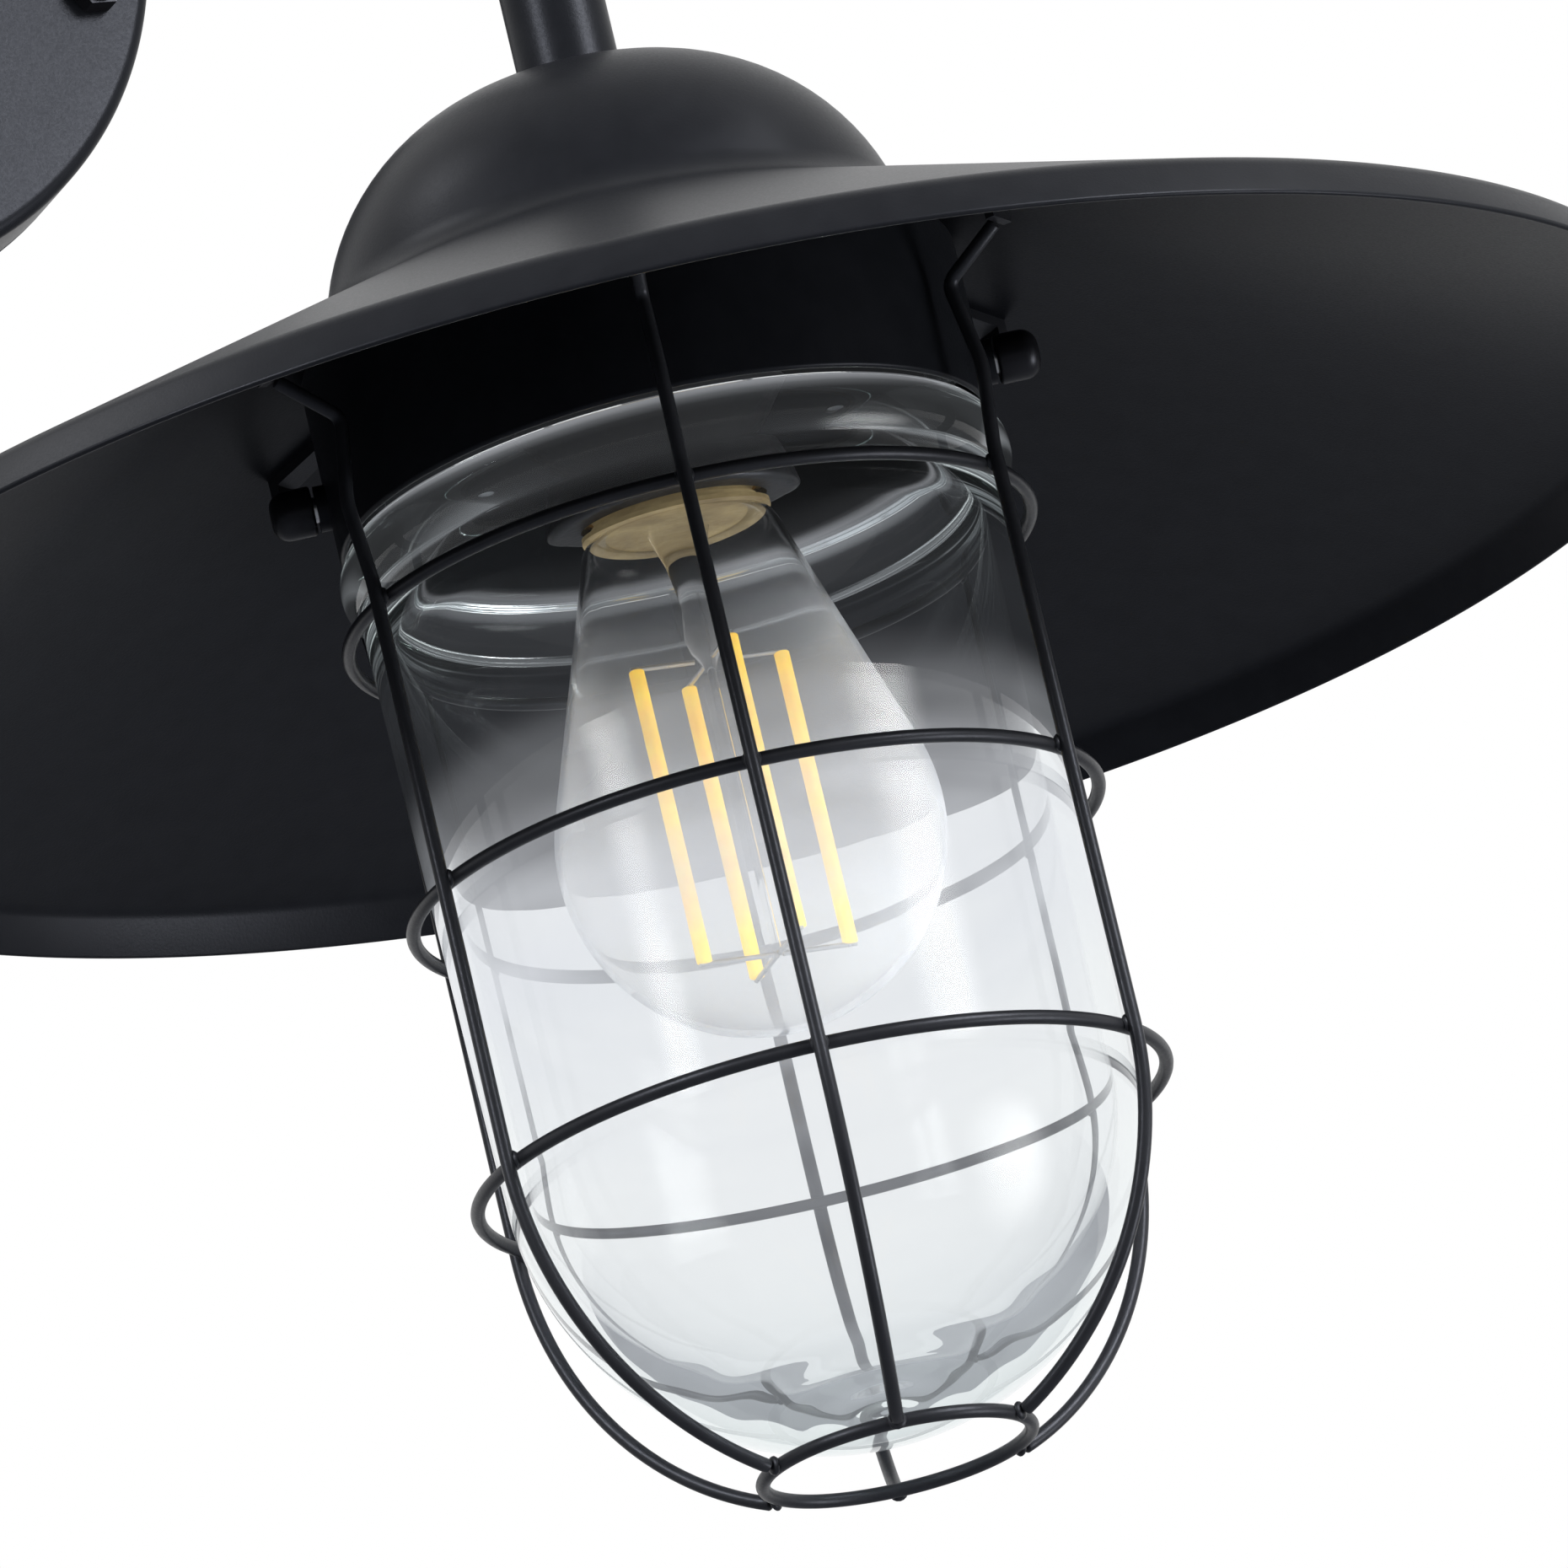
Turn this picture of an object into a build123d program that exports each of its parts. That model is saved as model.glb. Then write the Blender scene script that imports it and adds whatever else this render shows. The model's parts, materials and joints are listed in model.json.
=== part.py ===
from build123d import *
import os
from math import asin, atan, cos, degrees, radians, sin, sqrt, tan

# Outdoor wall lamp: a round wall plate, a bent tube arm, a spun shade with a domed crown,
# and under it a glass jar in a wire cage around a screw-in filament bulb.
# Millimetres, +Z up. The wall is the plane Y = 0 and the lamp reaches out along -Y.
# The origin is the middle of the two wall fixings, on the wall.

# Wall fitting, all heights from the wall fixings
plate_radius = 69.5
plate_depth = 18.0
plate_wall = 1.5
plate_edge_round = 2.6
plate_centre_height = 19.5
gasket_thickness = 2.0
gasket_width = 3.2
bracket_width = 20.0
bracket_thickness = 2.0
bracket_end_gap = 0.5
wall_slot_spacing = 84.0
wall_slot_length = 10.0
wall_slot_width = 5.0
stud_spacing = 111.0
stud_radius = 2.5
stud_hole_clearance = 0.2
cap_nut_flats = 8.0
cap_nut_hex_height = 4.0
cap_nut_dome_radius = 3.7
stud_thread_depth = 3.6
cable_bore = 4.0
grommet_radius = 6.5
grommet_flange = 9.0
grommet_flange_thickness = 1.5
grommet_length = 9.0
terminal_block_size = (22.0, 15.0, 10.0)
terminal_block_offset = 22.0
terminal_screw_radius = 2.2
terminal_screw_height = 1.2
earth_screw_offset = 24.0
earth_screw_radius = 4.0
earth_screw_height = 3.0
earth_washer_radius = 5.0
earth_washer_thickness = 1.0

# Arm
arm_reach = 307.4
arm_drop = 154.6
arm_radius = 8.0
arm_wall = 1.2
arm_bend_radius = 90.0
arm_tail = 6.0
arm_hole_clearance = 0.15
collar_radius = 13.0
collar_length = 6.0
collar_round = 1.5
lock_nut_flats = 24.0
lock_nut_height = 4.0

# Suspension under the arm
nipple_radius = 5.0
nipple_bore = 3.5
nipple_hole_clearance = 0.2
nipple_top = 16.0
nipple_length = 40.0
insert_length = 13.5
seal_radius = 8.8
seal_thickness = 1.5
nipple_nut_flats = 14.0
nipple_nut_height = 4.0
hanger_plate_depth = 18.0
hanger_thickness = 2.0
hanger_width = 20.0
hanger_span = 62.0
hanger_foot = 9.0
hanger_screw_radius = 2.0
hanger_screw_head = 3.5
hanger_screw_head_height = 2.2
hanger_screw_length = 5.0

# Shade, measured on its outer skin from the flat seat on top of the dome
head_turn = -23.0
shade_sheet = 1.0
dome_seat_radius = 9.1
dome_radius = 46.2
flank_slope = 76.0
neck_radius = 9.0
cone_slope = 21.9
lip_turn_radius = 5.0
lip_slope = 60.0
lip_length = 5.8
rim_radius = 159.2

# Glass holder
holder_radius = 51.5
holder_wall = 1.2
holder_depth = 67.0
holder_top_depth = 37.5
holder_wire_hole = 13.0
jar_gasket_thickness = 2.5
jar_gasket_width = 7.0

# Cage clips under the shade
clip_width = 5.6
clip_thickness = 1.5
clip_lip = 3.0
clip_clearance = 0.3

# Jar
jar_neck_radius = 47.0
jar_wall = 4.0
jar_rim_clearance = 0.3
jar_bead_radius = 52.6
jar_bead_height = 9.5
jar_bead_clearance = 0.6
jar_shoulder_radius = 50.6
jar_body_radius = 49.0
jar_bowl_depth = 171.6

# Cage
wire_radius = 1.1
weld_sink = 0.04
ring_radius = 53.5
ring_depths = (82.0, 127.6, 172.7)
foot_ring_radius = 20.8
wire_count = 6
hook_reach = 64.4
hook_depth = 46.6
hook_bend_reach = 54.6
hook_bend_depth = 52.7
hook_bend_round = 2.5
bulge_reach = 57.0
bulge_depth = 66.5
bulge_round = 12.0
bulge_fall = 13.0
knee_round = 20.0

# Thumbscrews
screw_depth = 57.6
screw_radius = 2.0
screw_fit = 0.05
screw_tip_clearance = 0.3
boss_radius = 3.6
boss_length = 1.7
knob_radius = 3.9
knob_length = 6.8
knob_gap = 0.4
knob_cap = 0.9
knob_round = 0.7
knob_flutes = 16
knob_flute_radius = 0.35

# Lampholder
socket_radius = 20.5
socket_end_depth = 69.0
socket_bore = 14.8
socket_roof = 5.3
socket_round = 2.0
shell_wall = 1.1
shell_length = 20.0
shell_lip_depth = 3.0
contact_radius = 5.0
contact_thickness = 0.8
terminal_size = (6.0, 6.0, 5.0)
terminal_offset = 7.0
socket_screw_offset = 16.0
socket_screw_radius = 1.5
socket_screw_head = 2.8
socket_screw_head_height = 2.0
socket_screw_length = 6.0

# Bulb
cap_joint_depth = 72.7
cap_radius = 13.2
cap_thread_depth = 0.7
cap_threads = 5
cap_pitch = 3.63
cap_flange_radius = 14.8
cap_flange_height = 1.5
cap_skirt_height = 3.5
insulator_height = 3.5
insulator_neck_radius = 5.0
tip_radius = 4.7
tip_height = 1.5
contact_clearance = 0.3
glass_gap = 0.1
glass_wall = 0.8
bulb_neck_radius = 14.6
bulb_radius = 30.0
bulb_centre_depth = 124.5
stem_flare_radius = 9.0
stem_flare_height = 6.0
stem_radius = 2.4
stem_length = 20.0
post_radius = 0.7
filament_radius = 0.9
filament_ring_radius = 11.8
filament_rise = 29.0
filament_length = 47.0
filament_count = 4
filament_phase = 16.6
lead_radius = 0.4

# Conductors inside the arm
conductor_radius = 1.1
conductor_spread = 1.4
conductor_bend = 4.0
conductor_rise = 5.0

# Worked out from the above
dome_top = plate_centre_height - arm_drop
dome_round = dome_radius - dome_seat_radius
arm_bore = arm_radius - arm_wall
holder_bore = holder_radius - holder_wall
holder_roof_depth = holder_top_depth + holder_wall
jar_rim_depth = holder_roof_depth + jar_gasket_thickness + jar_rim_clearance
wire_reach = ring_radius + 2 * wire_radius - weld_sink
bowl_centre = -ring_depths[2]
insert_top = seal_thickness + insert_length
stud_top = plate_depth + stud_thread_depth
plate_inner_face = plate_depth - plate_wall
tail_out = plate_depth - arm_tail
filament_top_depth = bulb_centre_depth - filament_rise

FROM_BELOW = (Align.CENTER, Align.CENTER, Align.MIN)
FROM_ABOVE = (Align.CENTER, Align.CENTER, Align.MAX)


def at_head(shape):
    """Hangs a piece built about the lamp's own axis, heights from the dome's seat."""
    return Pos(0, -arm_reach, dome_top) * Rot(0, 0, head_turn) * shape


def at_wall(shape):
    """Stands a piece built flat, its Z out of the wall, about the wall fixings."""
    return Rot(90, 0, 0) * shape


def at_plate(shape):
    """The same about the wall plate's centre."""
    return at_wall(Pos(0, plate_centre_height, 0) * shape)


def group(shapes, place):
    """Several like solids in one piece, each put in its place."""
    return Compound([solid for shape in shapes for solid in place(shape).solids()])


def at_azimuth(shape, azimuth):
    """Turns a piece that was built along +X to an azimuth counted from -Y."""
    return Rot(0, 0, azimuth - 90) * shape


def lathe(outline, arc=360):
    """Turns a closed outline in radius and height about the axis."""
    return revolve(Plane.XZ * make_face(outline), Axis.Z, revolution_arc=arc)


def lathe_points(*points):
    return lathe(Polyline(*points, close=True).edges())


def tube(outer, inner, bottom, top):
    bar = Cylinder(outer, top - bottom, align=FROM_BELOW)
    return Pos(0, 0, bottom) * (bar - Cylinder(inner, top - bottom, align=FROM_BELOW))


def rod(radius, bottom, top):
    return Pos(0, 0, bottom) * Cylinder(radius, top - bottom, align=FROM_BELOW)


def hexagon(flats, bottom, top):
    return Pos(0, 0, bottom) * extrude(RegularPolygon(flats / 2, 6, major_radius=False), top - bottom)


def along_x(shape):
    """Lays a piece built up +Z along +X."""
    return Rot(0, 90, 0) * shape


def sweep_round(radius, path):
    """A round bar along a path."""
    return sweep(Plane(origin=path @ 0, z_dir=path % 0) * Circle(radius), path=path)


# Wall fitting


def wall_plate():
    """A spun dish, open towards the wall, with holes for the arm and the two studs."""
    shell = Cylinder(plate_radius, plate_depth - gasket_thickness, align=FROM_BELOW)
    shell = fillet(shell.edges().group_by(Axis.Z)[-1], plate_edge_round)
    hollow = Cylinder(plate_radius - plate_wall, plate_depth - gasket_thickness - plate_wall, align=FROM_BELOW)
    hollow = fillet(hollow.edges().group_by(Axis.Z)[-1], plate_edge_round - plate_wall)
    dish = Pos(0, 0, gasket_thickness) * (shell - hollow)
    dish -= Cylinder(arm_radius + arm_hole_clearance, plate_depth, align=FROM_BELOW)
    for side in (-1, 1):
        hole = Cylinder(stud_radius + stud_hole_clearance, plate_depth, align=FROM_BELOW)
        dish -= Pos(side * stud_spacing / 2, -plate_centre_height, 0) * hole
    return at_plate(dish)


def wall_gasket():
    return at_plate(tube(plate_radius, plate_radius - gasket_width, 0, gasket_thickness))


def mounting_bracket():
    """A flat strip on the wall with two slots, the cable hole and the stud holes."""
    reach = plate_radius - gasket_width - bracket_end_gap
    low = sqrt(reach ** 2 - (plate_centre_height + bracket_width / 2) ** 2)
    high = sqrt(reach ** 2 - (plate_centre_height - bracket_width / 2) ** 2)
    half = bracket_width / 2
    outline = make_face(Polyline((-low, -half), (low, -half), (high, half), (-high, half), close=True).edges())
    outline -= Circle(grommet_radius)
    for side in (-1, 1):
        outline -= Pos(side * wall_slot_spacing / 2, 0) * SlotOverall(wall_slot_length, wall_slot_width)
        outline -= Pos(side * stud_spacing / 2, 0) * Circle(stud_radius)
    strip = extrude(outline, bracket_thickness)
    return at_wall(strip)


def mounting_studs():
    studs = [Pos(side * stud_spacing / 2, 0, 0) * rod(stud_radius, 0, stud_top) for side in (-1, 1)]
    return group(studs, at_wall)


def plate_cap_nuts():
    """Two domed nuts on the studs, in front of the plate."""
    nuts = []
    for side in (-1, 1):
        nut = hexagon(cap_nut_flats, plate_depth, plate_depth + cap_nut_hex_height)
        top = Pos(0, 0, plate_depth + cap_nut_hex_height) * Sphere(cap_nut_dome_radius)
        nut += top & rod(plate_radius, plate_depth, plate_depth + cap_nut_hex_height + cap_nut_dome_radius)
        nut -= rod(stud_radius, plate_depth, stud_top)
        nuts.append(Pos(side * stud_spacing / 2, 0, 0) * nut)
    return group(nuts, at_wall)


def cable_grommet():
    flange_top = bracket_thickness + grommet_flange_thickness
    body = lathe_points(
        (cable_bore, 0),
        (grommet_radius, 0),
        (grommet_radius, bracket_thickness),
        (grommet_flange, bracket_thickness),
        (grommet_flange, flange_top),
        (grommet_radius, flange_top),
        ((cable_bore + grommet_radius) / 2, grommet_length),
        (cable_bore, grommet_length),
    )
    return at_wall(body)


def terminal_block():
    length, width, height = terminal_block_size
    block = Box(length, width, height, align=FROM_BELOW)
    block = chamfer(block.edges().group_by(Axis.Z)[-1], terminal_screw_height / 2)
    return at_wall(Pos(terminal_block_offset, 0, bracket_thickness) * block)


def terminal_screws():
    """Three clamp screws in a row on top of the terminal block."""
    length, width, height = terminal_block_size
    pitch = length / 3
    base = bracket_thickness + height
    screws = []
    for place in (-1, 0, 1):
        screw = rod(terminal_screw_radius, base, base + terminal_screw_height)
        slit = Box(2 * terminal_screw_radius, terminal_screw_height / 2, terminal_screw_height / 2, align=FROM_ABOVE)
        screw -= Pos(0, 0, base + terminal_screw_height) * slit
        screws.append(Pos(terminal_block_offset + place * pitch, 0, 0) * screw)
    return group(screws, at_wall)


def earth_screw():
    """The pan-head earth screw with its washer on the bracket."""
    washer_top = bracket_thickness + earth_washer_thickness
    head_top = washer_top + earth_screw_height
    screw = rod(earth_washer_radius, bracket_thickness, washer_top)
    head = rod(earth_screw_radius, washer_top, head_top)
    head = fillet(head.edges().group_by(Axis.Z)[-1], earth_screw_height / 2)
    return at_wall(Pos(-earth_screw_offset, 0, 0) * (screw + head))


# Arm


def arm_path():
    """The tube's centre line, from its tail in the plate to its end above the dome."""
    corner = arm_reach - arm_bend_radius
    start = Vector(0, -tail_out, plate_centre_height)
    bend = Vector(0, -corner, plate_centre_height)
    fall = Vector(0, -arm_reach, plate_centre_height - arm_bend_radius)
    end = Vector(0, -arm_reach, dome_top + seal_thickness)
    middle = Vector(0, -corner - arm_bend_radius * sin(radians(45)), 0)
    middle.Z = plate_centre_height - arm_bend_radius * (1 - cos(radians(45)))
    return Wire([Line(start, bend).edge(), ThreePointArc(bend, middle, fall).edge(), Line(fall, end).edge()])


def arm_tube():
    path = arm_path()
    section = Plane(origin=path @ 0, z_dir=path % 0) * (Circle(arm_radius) - Circle(arm_bore))
    return sweep(section, path=path)


def arm_collar():
    """A turned ring on the tube against the plate's front."""
    ring = tube(collar_radius, arm_radius, plate_depth, plate_depth + collar_length)
    rim = ring.edges().filter_by(GeomType.CIRCLE).group_by(Axis.Z)[-1].sort_by(SortBy.RADIUS)[-1]
    return at_plate(fillet(rim, collar_round))


def arm_lock_nut():
    nut = hexagon(lock_nut_flats, plate_inner_face - lock_nut_height, plate_inner_face)
    nut -= rod(arm_radius, plate_inner_face - lock_nut_height, plate_inner_face)
    return at_plate(nut)


# Suspension, heights from the dome's seat


def arm_end_insert():
    return at_head(tube(arm_bore, nipple_radius, seal_thickness, insert_top))


def threaded_nipple():
    return at_head(tube(nipple_radius, nipple_bore, nipple_top - nipple_length, nipple_top))


def shade_seal():
    return at_head(tube(seal_radius, nipple_radius, 0, seal_thickness))


def nipple_nuts():
    """Three nuts: one under the dome and one on each side of the hanger."""
    hanger_top = -hanger_plate_depth
    hanger_under = hanger_top - hanger_thickness
    spans = [
        (-shade_sheet - nipple_nut_height, -shade_sheet),
        (hanger_top, hanger_top + nipple_nut_height),
        (hanger_under - nipple_nut_height, hanger_under),
    ]
    nuts = [hexagon(nipple_nut_flats, low, high) - rod(nipple_radius, low, high) for low, high in spans]
    return group(nuts, at_head)


def hanger():
    """A bent strip that carries the glass holder from the nipple."""
    half = hanger_span / 2
    top = -hanger_plate_depth
    floor = -holder_top_depth
    web = [
        (-half - hanger_foot, floor),
        (-half + hanger_thickness, floor),
        (-half + hanger_thickness, top - hanger_thickness),
        (half - hanger_thickness, top - hanger_thickness),
        (half - hanger_thickness, floor),
        (half + hanger_foot, floor),
        (half + hanger_foot, floor + hanger_thickness),
        (half, floor + hanger_thickness),
        (half, top),
        (-half, top),
        (-half, floor + hanger_thickness),
        (-half - hanger_foot, floor + hanger_thickness),
    ]
    strip = extrude(Plane.XZ * make_face(Polyline(*web, close=True).edges()), hanger_width / 2, both=True)
    strip -= rod(nipple_radius, top - hanger_thickness, top)
    for screw in hanger_screw_places():
        strip -= Pos(screw) * rod(hanger_screw_radius, floor, floor + hanger_thickness)
    return at_head(strip)


def hanger_screw_places():
    reach = (hanger_span + hanger_foot) / 2
    return [Vector(-reach, 0, 0), Vector(reach, 0, 0)]


def hanger_screws():
    """Two screws through the hanger's feet and the holder's roof."""
    base = hanger_thickness - holder_top_depth
    tip = base - hanger_screw_length
    screws = []
    for place in hanger_screw_places():
        screw = rod(hanger_screw_radius, tip, base)
        screw += rod(hanger_screw_head, base, base + hanger_screw_head_height)
        screws.append(Pos(place) * screw)
    return group(screws, at_head)


# Shade


def cone_length():
    """What the rim's radius leaves for the cone, along its slope."""
    flank = sin(radians(flank_slope))
    cone = sin(radians(cone_slope))
    reach = dome_seat_radius + dome_round * flank
    reach += neck_radius * (flank - cone)
    reach += lip_turn_radius * (sin(radians(lip_slope)) - cone)
    reach += lip_length * cos(radians(lip_slope))
    return (rim_radius - reach) / cos(radians(cone_slope))


def shade_line(depth):
    """One skin of the sheet, at a depth below the outer one, from the seat to the rim."""
    seat = Line((0, -depth), (dome_seat_radius, -depth))
    dome = JernArc(seat @ 1, seat % 1, dome_round - depth, -flank_slope)
    neck = JernArc(dome @ 1, dome % 1, neck_radius + depth, flank_slope - cone_slope)
    cone = Line(neck @ 1, neck @ 1 + (neck % 1) * cone_length())
    turn = JernArc(cone @ 1, cone % 1, lip_turn_radius - depth, cone_slope - lip_slope)
    lip = Line(turn @ 1, turn @ 1 + (turn % 1) * lip_length)
    return [seat, dome, neck, cone, turn, lip]


def shade():
    """One spun sheet: domed crown, cone and turned-down lip with a rounded edge."""
    outer = shade_line(0)
    inner = shade_line(shade_sheet)
    edge_tip = (outer[-1] @ 1 + inner[-1] @ 1) / 2 + (outer[-1] % 1) * (shade_sheet / 2)
    edge = ThreePointArc(outer[-1] @ 1, edge_tip, inner[-1] @ 1)
    centre = Line(inner[0] @ 0, outer[0] @ 0)
    lines = outer + inner + [edge, centre]
    sheet = lathe([line.edge() for line in lines])
    sheet -= rod(nipple_radius + nipple_hole_clearance, -2 * shade_sheet, shade_sheet)
    return at_head(sheet)


def cone_under(radius):
    """The height of the cone's underside at a radius."""
    start = shade_line(shade_sheet)[3] @ 0
    return start.Y - (radius - start.X) * tan(radians(cone_slope))


# Glass holder and what it carries


def glass_holder():
    """A cup, open below, with a hole in its roof for the conductors and holes for its screws."""
    cup = tube(holder_radius, holder_bore, -holder_depth, -holder_top_depth)
    cup += tube(holder_radius, holder_wire_hole, -holder_roof_depth, -holder_top_depth)
    for place in hanger_screw_places():
        cup -= Pos(place) * rod(hanger_screw_radius, -holder_roof_depth, -holder_top_depth)
    for place in socket_screw_places():
        cup -= Pos(place) * rod(socket_screw_radius, -holder_roof_depth, -holder_top_depth)
    for side in (-1, 1):
        hole = along_x(rod(screw_radius + screw_fit, 0, holder_radius + boss_length))
        cup -= Pos(0, 0, -screw_depth) * at_azimuth(hole, side * 90)
    return at_head(cup)


def screw_bosses():
    """Two round threaded bosses welded to the holder's wall for the thumbscrews."""
    bosses = []
    end = holder_radius + boss_length
    for side in (-1, 1):
        boss = along_x(rod(boss_radius, holder_bore, end) - rod(screw_radius + screw_fit, holder_bore, end))
        boss = Pos(0, 0, -screw_depth) * at_azimuth(boss, side * 90)
        bosses.append(boss - rod(holder_radius, -holder_depth, -holder_top_depth))
    return group(bosses, at_head)


def jar_gasket():
    top = -holder_roof_depth
    outer = jar_neck_radius
    return at_head(tube(outer, outer - jar_gasket_width, top - jar_gasket_thickness, top))


def cage_clips():
    """A strip for each wire from the holder out along the shade, ending in a turned-down lip."""
    lip_in = hook_reach + clip_clearance
    lip_out = lip_in + clip_thickness
    drop = clip_thickness / cos(radians(cone_slope))
    outline = [
        (holder_radius, cone_under(holder_radius)),
        (lip_out, cone_under(lip_out)),
        (lip_out, cone_under(lip_out) - drop - clip_lip),
        (lip_in, cone_under(lip_out) - drop - clip_lip),
        (lip_in, cone_under(lip_in) - drop),
        (holder_radius, cone_under(holder_radius) - drop),
    ]
    sweep_angle = degrees(clip_width / lip_out)
    strip = Rot(0, 0, -sweep_angle / 2) * lathe(Polyline(*outline, close=True).edges(), sweep_angle)
    clips = [at_azimuth(strip, azimuth) for azimuth in wire_azimuths()]
    return group(clips, at_head)


# Lampholder


def socket_screw_places():
    return [Vector(0, -socket_screw_offset, 0), Vector(0, socket_screw_offset, 0)]


def lampholder_body():
    """The moulded body, closed above but for its screw holes and conductor holes."""
    body = rod(socket_radius, -socket_end_depth, -holder_roof_depth)
    body = fillet(body.edges().group_by(Axis.Z)[0], socket_round)
    body -= rod(socket_bore, -socket_end_depth, -holder_roof_depth - socket_roof)
    for place in socket_screw_places():
        body -= Pos(place) * rod(socket_screw_radius, -holder_top_depth - socket_screw_length, -holder_roof_depth)
    return at_head(body)


def lampholder_shell():
    bottom = shell_lip_depth - socket_end_depth
    return at_head(tube(socket_bore, socket_bore - shell_wall, bottom, bottom + shell_length))


def contact_face():
    """The height of the centre contact's lower face."""
    return tip_top() + contact_clearance


def centre_contact():
    """A sprung contact: a plate on the bore's roof with a button down to the bulb."""
    roof = -holder_roof_depth - socket_roof
    plate = rod(contact_radius, roof - contact_thickness, roof)
    button = rod(contact_radius / 2, contact_face(), roof - contact_thickness)
    return at_head(plate + button)


def lampholder_terminals():
    """Two brass blocks on the body, inside the roof's hole, each with a conductor hole."""
    length, width, height = terminal_size
    blocks = []
    for side in (-1, 1):
        block = Box(length, width, height, align=FROM_BELOW)
        block -= Cylinder(conductor_radius, height, align=FROM_BELOW)
        blocks.append(Pos(side * terminal_offset, 0, -holder_roof_depth) * block)
    return group(blocks, at_head)


def lampholder_screws():
    screws = []
    for place in socket_screw_places():
        screw = rod(socket_screw_radius, -holder_top_depth - socket_screw_length, -holder_top_depth)
        screw += rod(socket_screw_head, -holder_top_depth, -holder_top_depth + socket_screw_head_height)
        screws.append(Pos(place) * screw)
    return group(screws, at_head)


# Conductors, from the terminal block through the arm and the nipple to the lampholder


def conductor(side):
    """One conductor, beside the arm's centre line, on straight runs and tangent arcs."""
    length, width, height = terminal_block_size
    start_x = terminal_block_offset + side * length / 3
    lane = side * conductor_spread
    out = bracket_thickness + height / 2 + lane
    terminal = Vector(side * terminal_offset, 0, 0).rotate(Axis.Z, head_turn)
    top = plate_centre_height
    landing = dome_top - holder_roof_depth
    entry = landing + terminal_size[2]
    points = [
        Vector(start_x, -out, width / 2),
        Vector(start_x, -out, top - conductor_rise),
        Vector(lane, -out, top),
        Vector(lane, -arm_reach, top),
        Vector(lane, -arm_reach, dome_top + nipple_top - nipple_length - conductor_radius),
        Vector(terminal.X, -arm_reach + terminal.Y, entry + conductor_bend / 2),
        Vector(terminal.X, -arm_reach + terminal.Y, landing),
    ]
    radii = [conductor_bend, conductor_bend, arm_bend_radius, conductor_bend, conductor_bend / 2]
    return sweep_round(conductor_radius, FilletPolyline(*points, radius=radii))


# Thumbscrews


def knob_start():
    return holder_radius + boss_length + knob_gap


def screw_stud(side):
    """The threaded stud, from just off the jar's neck to inside its knob."""
    tip = jar_neck_radius + screw_tip_clearance
    end = knob_start() + knob_length - knob_cap
    stud = along_x(rod(screw_radius, tip, end))
    return at_head(Pos(0, 0, -screw_depth) * at_azimuth(stud, side * 90))


def screw_knob(side):
    """The fluted knob on the stud's outer end."""
    start = knob_start()
    end = start + knob_length
    knob = rod(knob_radius, start, end)
    knob = fillet(knob.edges().filter_by(GeomType.CIRCLE), knob_round)
    for turn in range(knob_flutes):
        flute = Pos(knob_radius, 0, 0) * rod(knob_flute_radius, start, end)
        knob -= Rot(0, 0, turn * 360 / knob_flutes) * flute
    knob -= rod(screw_radius + screw_fit, start, end - knob_cap)
    return at_head(Pos(0, 0, -screw_depth) * at_azimuth(along_x(knob), side * 90))


# Glass jar


def glass_jar():
    """A straight neck, a bead under the holder, a slightly drawn-in body and a round bowl."""
    neck = jar_neck_radius
    bead_top = -holder_depth - jar_bead_clearance
    bead_foot = bead_top - jar_bead_height
    bead_mid = (bead_top + bead_foot) / 2
    bowl = -jar_bowl_depth
    inner_bowl = jar_body_radius - jar_wall
    inner_shoulder = jar_shoulder_radius - jar_wall
    lines = [
        Line((neck, -jar_rim_depth), (neck, bead_top)),
        Line((neck, bead_top), (jar_shoulder_radius, bead_top)),
        ThreePointArc((jar_shoulder_radius, bead_top), (jar_bead_radius, bead_mid), (jar_shoulder_radius, bead_foot)),
        Line((jar_shoulder_radius, bead_foot), (jar_body_radius, bowl)),
        CenterArc((0, bowl), jar_body_radius, -90, 90),
        Line((0, bowl - jar_body_radius), (0, bowl - inner_bowl)),
        CenterArc((0, bowl), inner_bowl, -90, 90),
        Line((inner_bowl, bowl), (inner_shoulder, bead_foot)),
        Line((inner_shoulder, bead_foot), (neck - jar_wall, bead_top)),
        Line((neck - jar_wall, bead_top), (neck - jar_wall, -jar_rim_depth)),
        Line((neck - jar_wall, -jar_rim_depth), (neck, -jar_rim_depth)),
    ]
    return at_head(lathe([line.edge() for line in lines]))


# Cage


def wire_azimuths():
    return [turn * 360 / wire_count for turn in range(wire_count)]


def cage_wire(azimuth):
    """One wire: hook, kink round the bead, straight run and a round end to the foot ring."""
    end_reach = foot_ring_radius + 2 * wire_radius - weld_sink
    end_angle = -degrees(atan(sqrt(wire_reach ** 2 - end_reach ** 2) / end_reach))
    line = FilletPolyline(
        (hook_reach, -hook_depth),
        (hook_bend_reach, -hook_bend_depth),
        (bulge_reach, -bulge_depth),
        (wire_reach, -bulge_depth - bulge_fall),
        (wire_reach, bowl_centre),
        radius=[hook_bend_round, bulge_round, knee_round],
    )
    bowl = CenterArc((0, bowl_centre), wire_reach, 0, end_angle)
    path = Plane.XZ * Wire(line.edges() + bowl.edges())
    return at_head(at_azimuth(sweep_round(wire_radius, path), azimuth))


def cage_ring(radius, depth):
    return at_head(Pos(0, 0, -depth) * Torus(radius, wire_radius))


def foot_ring_depth():
    end_reach = foot_ring_radius + 2 * wire_radius - weld_sink
    return ring_depths[2] + sqrt(wire_reach ** 2 - end_reach ** 2)


# Bulb


def tip_top():
    """The height of the bulb's tip."""
    threads = cap_threads * cap_pitch
    return -cap_joint_depth + cap_skirt_height + threads + insulator_height + tip_height


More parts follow.
